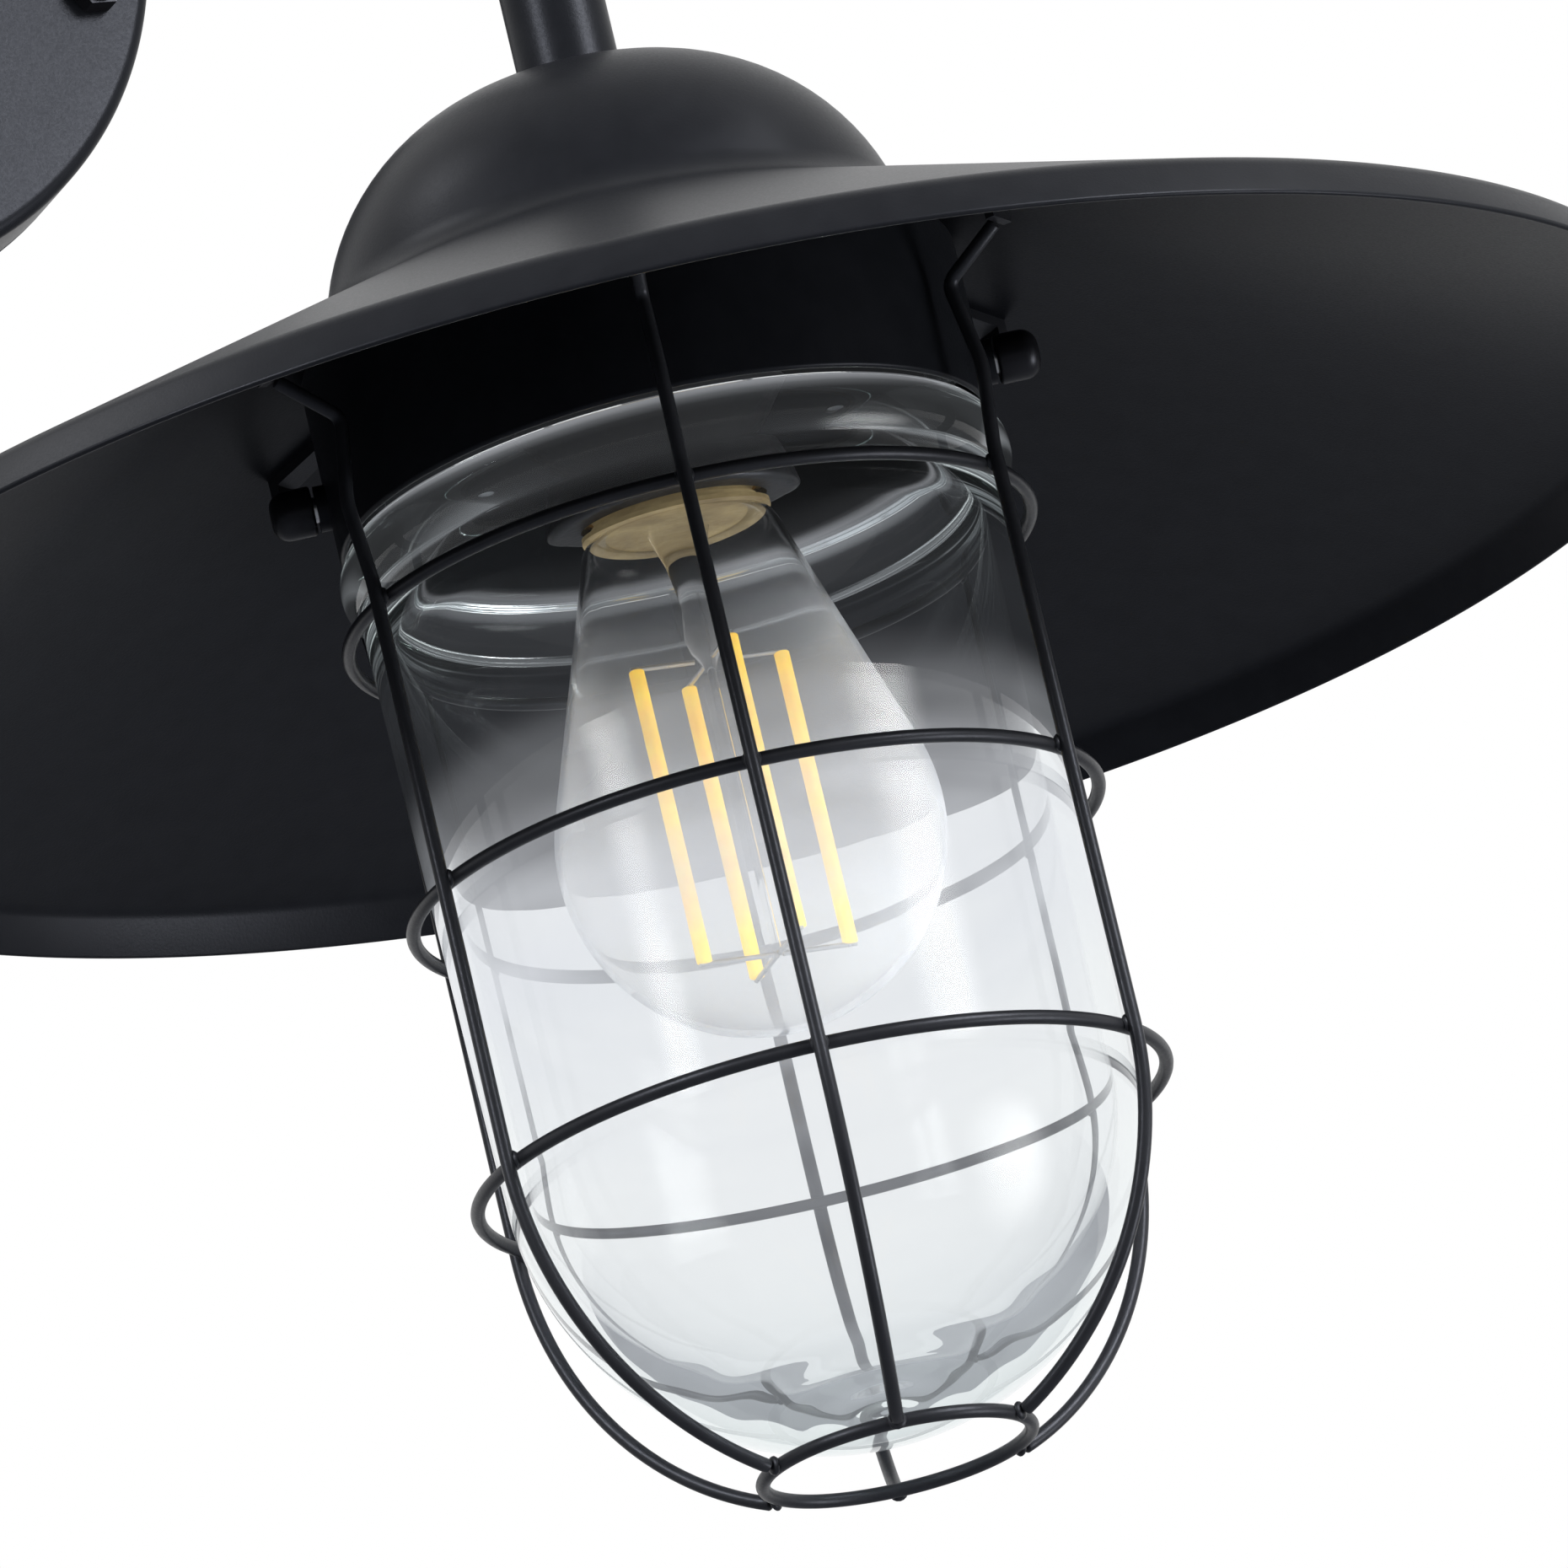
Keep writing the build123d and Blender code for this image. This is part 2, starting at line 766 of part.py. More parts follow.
def bulb_cap():
    """The screw cap: a flange on the glass, a skirt and rolled threads."""
    base = -cap_joint_depth
    thread_base = base + cap_skirt_height
    outline = [
        (0, base),
        (cap_flange_radius, base),
        (cap_flange_radius, base + cap_flange_height),
        (cap_radius, base + cap_flange_height),
    ]
    for turn in range(cap_threads):
        low = thread_base + turn * cap_pitch
        outline.append((cap_radius, low))
        outline.append((cap_radius - cap_thread_depth, low + cap_pitch / 2))
    top = thread_base + cap_threads * cap_pitch
    outline.append((cap_radius - cap_thread_depth, top))
    outline.append((0, top))
    return at_head(lathe_points(*outline))


def bulb_insulator():
    top = tip_top() - tip_height
    base = top - insulator_height
    wide = cap_radius - cap_thread_depth
    return at_head(lathe_points((0, base), (wide, base), (insulator_neck_radius, top), (0, top)))


def bulb_tip_contact():
    top = tip_top()
    tip = rod(tip_radius, top - tip_height, top)
    return at_head(fillet(tip.edges().group_by(Axis.Z)[-1], tip_height / 2))


def glass_skin(depth):
    """One skin of the envelope: a neck that runs tangent into a round bowl."""
    neck = Vector(bulb_neck_radius - depth, -cap_joint_depth - glass_gap)
    centre = Vector(0, -bulb_centre_depth)
    radius = bulb_radius - depth
    away = neck - centre
    lean = degrees(atan(away.X / away.Y))
    half = degrees(asin(radius / away.length))
    start = lean - half
    touch_angle = 90 - (start + half) - (90 - half)
    touch = centre + Vector(radius * cos(radians(touch_angle)), radius * sin(radians(touch_angle)))
    return [Line(neck, touch), CenterArc((centre.X, centre.Y), radius, touch_angle, -90 - touch_angle)]


def bulb_glass():
    outer = glass_skin(0)
    inner = glass_skin(glass_wall)
    rim = Line(inner[0] @ 0, outer[0] @ 0)
    foot = Line(outer[1] @ 1, inner[1] @ 1)
    return at_head(lathe([line.edge() for line in outer + inner + [rim, foot]]))


def bulb_stem():
    """The glass stem: a flare under the cap, a pinched rod and a thin post to the filaments' foot."""
    top = -cap_joint_depth - glass_gap
    stem_end = top - stem_length
    foot = -filament_top_depth - filament_length
    return at_head(lathe_points(
        (0, top),
        (stem_flare_radius, top),
        (stem_radius, top - stem_flare_height),
        (stem_radius, stem_end),
        (post_radius, stem_end - stem_radius),
        (post_radius, foot),
        (0, foot),
    ))


def filament_azimuths():
    return [filament_phase + turn * 360 / filament_count for turn in range(filament_count)]


def bulb_filaments():
    bar = Pos(filament_ring_radius, 0, 0) * rod(
        filament_radius, -filament_top_depth - filament_length, -filament_top_depth)
    bars = [at_azimuth(bar, azimuth) for azimuth in filament_azimuths()]
    return group(bars, at_head)


def bulb_leads():
    """Thin wires from the stem to both ends of each filament."""
    leads = []
    for azimuth in filament_azimuths():
        top_inner = Vector(stem_radius, 0, lead_radius - filament_top_depth)
        foot_inner = Vector(post_radius, 0, -lead_radius - filament_top_depth - filament_length)
        for inner in (top_inner, foot_inner):
            length = filament_ring_radius + filament_radius - inner.X
            lead = Pos(inner) * along_x(Cylinder(lead_radius, length, align=FROM_BELOW))
            leads.append(at_azimuth(lead, azimuth))
    return group(leads, at_head)


pieces = {
    "wall_plate": wall_plate(),
    "wall_gasket": wall_gasket(),
    "mounting_bracket": mounting_bracket(),
    "mounting_studs": mounting_studs(),
    "plate_cap_nuts": plate_cap_nuts(),
    "cable_grommet": cable_grommet(),
    "terminal_block": terminal_block(),
    "terminal_screws": terminal_screws(),
    "earth_screw": earth_screw(),
    "arm_tube": arm_tube(),
    "arm_collar": arm_collar(),
    "arm_lock_nut": arm_lock_nut(),
    "arm_end_insert": arm_end_insert(),
    "threaded_nipple": threaded_nipple(),
    "nipple_nuts": nipple_nuts(),
    "shade_seal": shade_seal(),
    "shade": shade(),
    "hanger": hanger(),
    "hanger_screws": hanger_screws(),
    "glass_holder": glass_holder(),
    "screw_bosses": screw_bosses(),
    "jar_gasket": jar_gasket(),
    "cage_clips": cage_clips(),
    "lampholder_body": lampholder_body(),
    "lampholder_shell": lampholder_shell(),
    "centre_contact": centre_contact(),
    "lampholder_terminals": lampholder_terminals(),
    "lampholder_screws": lampholder_screws(),
    "live_conductor": conductor(1),
    "neutral_conductor": conductor(-1),
    "thumbscrew_stud_left": screw_stud(-1),
    "thumbscrew_knob_left": screw_knob(-1),
    "thumbscrew_stud_right": screw_stud(1),
    "thumbscrew_knob_right": screw_knob(1),
    "glass_jar": glass_jar(),
    "cage_ring_top": cage_ring(ring_radius, ring_depths[0]),
    "cage_ring_middle": cage_ring(ring_radius, ring_depths[1]),
    "cage_ring_lower": cage_ring(ring_radius, ring_depths[2]),
    "cage_ring_foot": cage_ring(foot_ring_radius, foot_ring_depth()),
    "bulb_cap": bulb_cap(),
    "bulb_insulator": bulb_insulator(),
    "bulb_tip_contact": bulb_tip_contact(),
    "bulb_glass": bulb_glass(),
    "bulb_stem": bulb_stem(),
    "bulb_filaments": bulb_filaments(),
    "bulb_leads": bulb_leads(),
}
for number, wire_azimuth in enumerate(wire_azimuths(), start=1):
    pieces[f"cage_wire_{number}"] = cage_wire(wire_azimuth)

os.makedirs("parts", exist_ok=True)
for node, shape in pieces.items():
    export_step(shape, f"parts/{node}.step")
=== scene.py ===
import bmesh
import bpy
import json
import math
from mathutils import Matrix, Vector


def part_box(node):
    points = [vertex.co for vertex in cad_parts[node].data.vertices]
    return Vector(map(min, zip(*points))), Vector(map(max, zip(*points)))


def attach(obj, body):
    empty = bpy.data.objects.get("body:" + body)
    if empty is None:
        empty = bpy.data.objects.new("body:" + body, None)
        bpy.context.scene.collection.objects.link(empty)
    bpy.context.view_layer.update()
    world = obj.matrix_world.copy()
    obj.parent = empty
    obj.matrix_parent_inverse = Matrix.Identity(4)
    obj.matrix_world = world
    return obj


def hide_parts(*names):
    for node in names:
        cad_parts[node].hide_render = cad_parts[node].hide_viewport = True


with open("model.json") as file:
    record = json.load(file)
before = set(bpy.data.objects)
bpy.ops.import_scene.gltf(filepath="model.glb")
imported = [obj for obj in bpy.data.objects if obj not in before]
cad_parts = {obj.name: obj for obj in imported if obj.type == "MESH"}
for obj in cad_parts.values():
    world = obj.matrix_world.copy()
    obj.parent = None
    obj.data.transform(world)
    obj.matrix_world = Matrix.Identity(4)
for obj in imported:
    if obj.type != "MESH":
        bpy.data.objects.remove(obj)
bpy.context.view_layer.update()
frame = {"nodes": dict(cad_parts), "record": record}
nodes = frame["nodes"]

# Places and sizes shared by several pieces, in metres and degrees
# Heights in the lamp head count from the flat seat on top of the dome

MM = 0.001
UP = Vector((0.0, 0.0, 1.0))
SHADE_BOX = [Vector(corner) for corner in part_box("shade")]
PLATE_BOX = [Vector(corner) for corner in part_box("wall_plate")]
SEAT = SHADE_BOX[1].z
AXIS = Vector((*((SHADE_BOX[0] + SHADE_BOX[1]) / 2).xy, SEAT))
PLATE = (PLATE_BOX[0] + PLATE_BOX[1]) / 2
HEAD_TURN = -23.0
WIRE_R = 1.1 * MM
RING_R = 53.5 * MM
FOOT_RING_R = 20.8 * MM
WELD_SINK = 0.04 * MM
WIRE_REACH = RING_R + 2 * WIRE_R - WELD_SINK
FOOT_REACH = FOOT_RING_R + 2 * WIRE_R - WELD_SINK
RING_DEPTHS = {"top": 82.0 * MM, "middle": 127.6 * MM, "lower": 172.7 * MM}
WIRE_AZIMUTHS = [k * 60.0 for k in range(6)]


# Mesh helpers
# A smaller radius than ON_AXIS is a point on the axis
# A bar's domed end goes in END_STEPS: a share of its rise, END_RISE of the radius, and a share of the radius

ON_AXIS = 1e-7
END_RISE = 0.35
END_STEPS = ((0.35, 0.92), (0.65, 0.72), (0.85, 0.45))


def spoke(azimuth, r, z):
    """A point of the head at an azimuth counted from -Y, in the row frame."""
    a = math.radians(azimuth + HEAD_TURN)
    return Vector((AXIS.x + r * math.sin(a), AXIS.y - r * math.cos(a), SEAT + z))


def add_piece(name, verts, faces, material, body, replaced, slot, sharp=40.0):
    """A smooth mesh that rides a body and stands for the CAD node it replaces."""
    mesh = bpy.data.meshes.new(name)
    mesh.from_pydata([tuple(v) for v in verts], [], faces)
    mesh.validate()
    shell = bmesh.new()
    shell.from_mesh(mesh)
    bmesh.ops.recalc_face_normals(shell, faces=shell.faces)
    shell.to_mesh(mesh)
    shell.free()
    mesh.shade_smooth()
    mesh.set_sharp_from_angle(angle=math.radians(sharp))
    mesh.materials.append(material)
    obj = bpy.data.objects.new(name, mesh)
    bpy.context.scene.collection.objects.link(obj)
    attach(obj, body)
    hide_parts(replaced)


def pairs_of(rings, closed):
    """Each ring with the next one, and the last with the first where the row is closed."""
    return list(zip(rings, rings[1:])) + ([(rings[-1], rings[0])] if closed else [])


def lathe_mesh(profile, segments, place, closed):
    """Vertices and faces of a profile of (radius, height) turned about an axis by place(r, z, angle)."""
    verts, rings, faces = [], [], []
    for r, z in profile:
        if r < ON_AXIS:
            rings.append([len(verts)] * segments)
            verts.append(place(0.0, z, 0.0))
        else:
            rings.append(list(range(len(verts), len(verts) + segments)))
            verts += [place(r, z, 2 * math.pi * k / segments) for k in range(segments)]
    for low, high in pairs_of(rings, closed):
        for k in range(segments):
            n = (k + 1) % segments
            corners = [low[k], low[n], high[n], high[k]]
            face = [c for i, c in enumerate(corners) if c not in corners[:i]]
            if len(face) > 2:
                faces.append(face)
    return verts, faces


def about_lamp(r, z, angle):
    """A point turned about the lamp's axis."""
    return Vector((AXIS.x + r * math.cos(angle), AXIS.y + r * math.sin(angle), SEAT + z))


def in_metres(profile):
    """A profile in millimetres as one in metres."""
    return [(r * MM, z * MM) for r, z in profile]


def head_lathe(name, profile, material, body, replaced, slot, segments=256, closed=True, sharp=40.0):
    """A piece turned about the lamp's axis. The profile is in millimetres."""
    verts, faces = lathe_mesh(in_metres(profile), segments, about_lamp, closed)
    add_piece(name, verts, faces, material, body, replaced, slot, sharp)


def spoke_lathe(profile, segments, azimuth, reach, height, along, across):
    """A profile turned about a spoke, from a reach outwards, with a scale along it and one across it."""
    start = spoke(azimuth, reach, height)
    out = (spoke(azimuth, 1.0, 0.0) - spoke(azimuth, 0.0, 0.0)).normalized()
    side = UP.cross(out)

    def place(r, z, angle):
        turned = side * math.cos(angle) + UP * math.sin(angle)
        return start + out * (z * along) + turned * (r * across)

    return lathe_mesh(profile, segments, place, False)


def arc_points(centre, radius, start, end, count):
    """Points of an arc in the plane, angles in degrees."""
    angles = [math.radians(start + (end - start) * k / count) for k in range(count + 1)]
    return [(centre[0] + radius * math.cos(a), centre[1] + radius * math.sin(a)) for a in angles]


def between(first, last, count, start=1):
    """Points that divide a line, from a given one on, without the line's end."""
    shares = [k / count for k in range(start, count)]
    return [(first[0] + (last[0] - first[0]) * t, first[1] + (last[1] - first[1]) * t) for t in shares]


def rounded(points, radii, steps=10):
    """A polyline in the plane with its inner corners rounded to the radii, without its last point."""
    corners = [Vector((r, z, 0.0)) for r, z in points]
    line = [corners[0]]
    for before, corner, after, radius in zip(corners, corners[1:], corners[2:], radii):
        back = (before - corner).normalized()
        ahead = (after - corner).normalized()
        half = back.angle(ahead) / 2
        reach = radius / math.tan(half)
        centre = corner + (back + ahead).normalized() * (radius / math.sin(half))
        first = corner + back * reach - centre
        last = corner + ahead * reach - centre
        turn = first.angle(last)
        for k in range(steps + 1):
            t = k / steps
            mix = first * math.sin((1 - t) * turn) + last * math.sin(t * turn)
            line.append(centre + mix / math.sin(turn))
    return [(p.x, p.y) for p in line]


def bar_mesh(path, radius, sides=20, closed=False, domed=True):
    """A round bar along points, with domed or flat ends."""
    verts, faces, rings, stations = [], [], [], []
    count = len(path)
    side = None
    for i in range(count):
        a = path[(i - 1) % count] if closed or i else path[0]
        b = path[(i + 1) % count] if closed or i < count - 1 else path[-1]
        along = (b - a).normalized()
        side = along.orthogonal() if side is None else side - along * side.dot(along)
        side = side.normalized()
        stations.append((path[i], along, side, radius))
    if domed and not closed:
        rise = radius * END_RISE
        p, t, s, r = stations[0]
        stations = [(p - t * rise * a, t, s, r * b) for a, b in reversed(END_STEPS)] + stations
        p, t, s, r = stations[-1]
        stations += [(p + t * rise * a, t, s, r * b) for a, b in END_STEPS]
    for p, t, s, r in stations:
        other = t.cross(s)
        rings.append(len(verts))
        for k in range(sides):
            a = 2 * math.pi * k / sides
            verts.append(p + (s * math.cos(a) + other * math.sin(a)) * r)
    for low, high in pairs_of(rings, closed):
        for k in range(sides):
            n = (k + 1) % sides
            faces.append([low + k, low + n, high + n, high + k])
    if not closed:
        faces.append([rings[0] + k for k in reversed(range(sides))])
        faces.append([rings[-1] + k for k in range(sides)])
    return verts, faces


def join_meshes(parts):
    """Several meshes as one."""
    verts, faces = [], []
    for v, f in parts:
        base = len(verts)
        verts += v
        faces += [[base + i for i in face] for face in f]
    return verts, faces


# Shader helpers
# Noise stays mostly between NOISE_LOW and NOISE_HIGH

WHITE = (1.0, 1.0, 1.0)
NOISE_LOW = 0.3
NOISE_HIGH = 0.7


def new_material(name):
    """A material with a plain Principled shader; returns it with its nodes, links and shader."""
    material = bpy.data.materials.new(name)
    material.use_nodes = True
    tree = material.node_tree
    return material, tree.nodes, tree.links, tree.nodes["Principled BSDF"]


def object_noise(tree_nodes, links, scale, detail=3.0, roughness=0.55):
    """Noise in the piece's own space."""
    coords = tree_nodes.new("ShaderNodeTexCoord")
    noise = tree_nodes.new("ShaderNodeTexNoise")
    noise.inputs["Scale"].default_value = scale
    noise.inputs["Detail"].default_value = detail
    noise.inputs["Roughness"].default_value = roughness
    links.new(coords.outputs["Object"], noise.inputs["Vector"])
    return noise.outputs["Fac"]


def colour_between(tree_nodes, links, source, low, high):
    """A colour that goes from low to high with a noise."""
    ramp = tree_nodes.new("ShaderNodeValToRGB")
    elements = ramp.color_ramp.elements
    elements[0].position = NOISE_LOW
    elements[1].position = NOISE_HIGH
    elements[0].color = (*low, 1.0)
    elements[1].color = (*high, 1.0)
    links.new(source, ramp.inputs["Fac"])
    return ramp.outputs["Color"]


def value_between(tree_nodes, links, source, low, high, start=NOISE_LOW, end=NOISE_HIGH, soft=False):
    """A value that goes from low to high while the source goes from start to end."""
    spread = tree_nodes.new("ShaderNodeMapRange")
    spread.interpolation_type = "SMOOTHSTEP" if soft else "LINEAR"
    spread.inputs["From Min"].default_value = start
    spread.inputs["From Max"].default_value = end
    spread.inputs["To Min"].default_value = low
    spread.inputs["To Max"].default_value = high
    links.new(source, spread.inputs["Value"])
    return spread.outputs["Result"]


def combine(tree_nodes, links, operation, first, second):
    """Two factors put together by an operation; the second may be a plain number."""
    result = tree_nodes.new("ShaderNodeMath")
    result.operation = operation
    links.new(first, result.inputs[0])
    if isinstance(second, float):
        result.inputs[1].default_value = second
    else:
        links.new(second, result.inputs[1])
    return result.outputs["Value"]


def mixed(tree_nodes, links, share, first, second):
    """A mix of two shaders by the second one's share."""
    mix = tree_nodes.new("ShaderNodeMixShader")
    links.new(share, mix.inputs["Fac"])
    links.new(first, mix.inputs[1])
    links.new(second, mix.inputs[2])
    return mix.outputs["Shader"]


def bump_from(tree_nodes, links, source, shader, distance):
    """Fine relief on a shader, with its depth in metres."""
    bump = tree_nodes.new("ShaderNodeBump")
    bump.inputs["Distance"].default_value = distance
    bump.inputs["Strength"].default_value = 1.0
    links.new(source, bump.inputs["Height"])
    links.new(bump.outputs["Normal"], shader.inputs["Normal"])


# Paints, metals, plastics and rubber
# The colour drifts over DRIFT_GRAINS grains, and what isn't metal has a slightly blue shine

DRIFT_GRAINS = 12
COOL_SHINE = (0.82, 0.86, 1.0)


def grained(name, low, high, roughness, grain, depth, metallic=0.0, specular=0.5, painted_glow=0.0):
    """A painted, plated or moulded finish: fine grain in bump and roughness, slight colour drift, and
    painted light of its own where one is given.
    """
    material, tree_nodes, links, shader = new_material(name)
    drift = object_noise(tree_nodes, links, grain / DRIFT_GRAINS, detail=4.0)
    fine = object_noise(tree_nodes, links, grain, detail=2.0, roughness=0.6)
    links.new(colour_between(tree_nodes, links, drift, low, high), shader.inputs["Base Color"])
    links.new(value_between(tree_nodes, links, fine, *roughness), shader.inputs["Roughness"])
    bump_from(tree_nodes, links, fine, shader, depth)
    shader.inputs["Metallic"].default_value = metallic
    shader.inputs["Specular IOR Level"].default_value = specular
    if not metallic:
        shader.inputs["Specular Tint"].default_value = (*COOL_SHINE, 1.0)
    shader.inputs["Emission Color"].default_value = (*high, 1.0)
    shader.inputs["Emission Strength"].default_value = painted_glow
    return material


powder_black = grained("powder_black", (0.0052, 0.0057, 0.0071), (0.007, 0.0076, 0.0093),
                       roughness=(0.31, 0.38), grain=2200.0, depth=0.02 * MM, specular=0.08)
# The wires' black is lighter than the shade's paint: the lift is painted glare.
wire_black = grained("wire_black", (0.009, 0.0095, 0.0112), (0.013, 0.0136, 0.0156),
                     roughness=(0.32, 0.42), grain=2200.0, depth=0.02 * MM, specular=0.16)
gloss_black = grained("gloss_black", (0.004, 0.004, 0.005), (0.007, 0.007, 0.008),
                      roughness=(0.3, 0.4), grain=900.0, depth=0.01 * MM, specular=0.15)
rubber_black = grained("rubber_black", (0.012, 0.012, 0.012), (0.022, 0.022, 0.022),
                       roughness=(0.75, 0.9), grain=2500.0, depth=0.04 * MM, specular=0.3)
zinc_steel = grained("zinc_steel", (0.48, 0.49, 0.52), (0.62, 0.63, 0.64),
                     roughness=(0.28, 0.42), grain=700.0, depth=0.01 * MM, metallic=1.0)
brass = grained("brass", (0.62, 0.44, 0.17), (0.74, 0.56, 0.26),
                roughness=(0.25, 0.38), grain=600.0, depth=0.01 * MM, metallic=1.0)
# The cap shines with painted light of its own, with no lamp on it.
cap_gold = grained("cap_gold", (0.15, 0.1, 0.04), (0.5, 0.385, 0.19),
                   roughness=(0.3, 0.45), grain=1400.0, depth=0.02 * MM, metallic=0.55, painted_glow=0.13)
socket_black = grained("socket_black", (0.012, 0.012, 0.013), (0.02, 0.02, 0.021),
                       roughness=(0.3, 0.42), grain=700.0, depth=0.02 * MM, specular=0.3)
terminal_white = grained("terminal_white", (0.7, 0.7, 0.66), (0.78, 0.78, 0.74),
                         roughness=(0.45, 0.6), grain=1500.0, depth=0.02 * MM)
insulation_brown = grained("insulation_brown", (0.09, 0.035, 0.015), (0.13, 0.055, 0.025),
                           roughness=(0.4, 0.55), grain=1200.0, depth=0.01 * MM)
insulation_blue = grained("insulation_blue", (0.02, 0.06, 0.28), (0.035, 0.09, 0.36),
                          roughness=(0.4, 0.55), grain=1200.0, depth=0.01 * MM)
insulator_black = grained("insulator_black", (0.01, 0.01, 0.012), (0.02, 0.02, 0.022),
                          roughness=(0.1, 0.2), grain=500.0, depth=0.01 * MM)
solder = grained("solder", (0.5, 0.5, 0.52), (0.66, 0.66, 0.68),
                 roughness=(0.3, 0.5), grain=700.0, depth=0.03 * MM, metallic=1.0)
lead_wire = grained("lead_wire", (0.5, 0.5, 0.5), (0.68, 0.67, 0.65),
                    roughness=(0.25, 0.4), grain=900.0, depth=0.01 * MM, metallic=1.0)


# Glass
# Painted light lies over the glass as a layer: painted light of its own on the jar and stem, a lit pale haze
# for painted bloom on the bulb.
# The layer's stops are depths under the seat in millimetres, each with the layer's share at that depth

OUTLINE_BLEND = 0.4
# Stretched noise makes rings of painted reflection around the axis.
PAINTED_STREAK_SCALE = (14.0, 14.0, 90.0)
ABSORPTION = 12.0
# Colour of the glass's painted light of its own.
GLASS_PAINTED_GLOW = (0.88, 0.95, 1.0)
# The jar's stops paint a highlight line round the bead near 68 mm and pale painted light over the body lower
# down.
JAR_PAINTED_LIGHT_STOPS = (
    (60.0, 0.0), (66.5, 0.02), (68.2, 0.6), (69.6, 0.03), (75.0, 0.04), (80.0, 0.005),
    (106.0, 0.02), (119.0, 0.22), (132.0, 0.78), (144.0, 0.9), (155.0, 0.5), (167.0, 0.2),
    (185.0, 0.14), (205.0, 0.26), (220.0, 0.3),
)
# The bulb's stops give a lit pale haze of painted bloom over the envelope.
BULB_PAINTED_BLOOM_STOPS = ((80.0, 0.0), (88.0, 0.2), (97.0, 0.85), (108.0, 1.0), (160.0, 0.7))
# The stem's stops paint light of its own on the stem around its pinch, between 82 and 98 mm down.
STEM_PAINTED_LIGHT_STOPS = ((72.0, 0.0), (82.0, 0.0), (88.0, 0.5), (94.0, 0.8), (98.0, 0.0))
# The jar's layer is painted light that shines by itself.
JAR_PAINTED_LIGHT = {"colour": (0.78, 0.8, 0.85), "lit": False, "stops": JAR_PAINTED_LIGHT_STOPS,
            "facing_share": 0.3, "edge_share": 0.34, "painted_streak": 0.5}
BULB_PAINTED_BLOOM = {"colour": (0.9, 0.92, 0.96), "lit": True, "stops": BULB_PAINTED_BLOOM_STOPS,
             "facing_share": 0.14, "edge_share": 0.36, "painted_streak": 0.3}
STEM_PAINTED_LIGHT = {"colour": (0.9, 0.88, 0.86), "lit": False, "stops": STEM_PAINTED_LIGHT_STOPS,
             "facing_share": 0.03, "edge_share": 0.28, "painted_streak": 0.9}


def depth_share(tree_nodes, links, height, stops):
    """The painted light layer's share at a height, eased from stop to stop. A new ramp already has two
    stops.
    """
    top = stops[0][0]
    foot = stops[-1][0]
    way = value_between(tree_nodes, links, height, 0.0, 1.0, SEAT - top * MM, SEAT - foot * MM)
    ramp = tree_nodes.new("ShaderNodeValToRGB")
    ramp.color_ramp.interpolation = "EASE"
    elements = ramp.color_ramp.elements
    for k, (depth, share) in enumerate(stops):
        stop = elements[k] if k < 2 else elements.new(1.0)
        stop.position = (depth - top) / (foot - top)
        stop.color = (share, share, share, 1.0)
    links.new(way, ramp.inputs["Fac"])
    return ramp.outputs["Color"]


def painted_light_over(tree_nodes, links, shader, colour, lit, stops, facing_share, edge_share, painted_streak):
    """A layer of painted light over clear glass: its share follows the depth under the seat, thicker towards
    the outline and streaky around the axis as painted reflections;
    lit by the room as a pale haze of painted bloom or, for mirrored light, shining by itself as painted
    light."""
    painted_layer = tree_nodes.new("ShaderNodeBsdfDiffuse" if lit else "ShaderNodeEmission")
    painted_layer.inputs["Color"].default_value = (*colour, 1.0)
    coords = tree_nodes.new("ShaderNodeTexCoord")
    split = tree_nodes.new("ShaderNodeSeparateXYZ")
    links.new(coords.outputs["Object"], split.inputs["Vector"])
    facing = tree_nodes.new("ShaderNodeLayerWeight")
    facing.inputs["Blend"].default_value = OUTLINE_BLEND
    stretch = tree_nodes.new("ShaderNodeMapping")
    stretch.inputs["Scale"].default_value = PAINTED_STREAK_SCALE
    links.new(coords.outputs["Object"], stretch.inputs["Vector"])
    noise = tree_nodes.new("ShaderNodeTexNoise")
    noise.inputs["Scale"].default_value = 1.0
    noise.inputs["Detail"].default_value = 2.0
    links.new(stretch.outputs["Vector"], noise.inputs["Vector"])
    share = depth_share(tree_nodes, links, split.outputs["Z"], stops)
    edge = value_between(tree_nodes, links, facing.outputs["Facing"], facing_share, edge_share, 0.0, 1.0)
    painted_streaks = value_between(tree_nodes, links, noise.outputs["Fac"], 1.0 - painted_streak, 1.0 + painted_streak)
    share = combine(tree_nodes, links, "MULTIPLY", share, edge)
    share = combine(tree_nodes, links, "MULTIPLY", share, painted_streaks)
    return mixed(tree_nodes, links, share, shader.outputs["BSDF"], painted_layer.outputs[0])


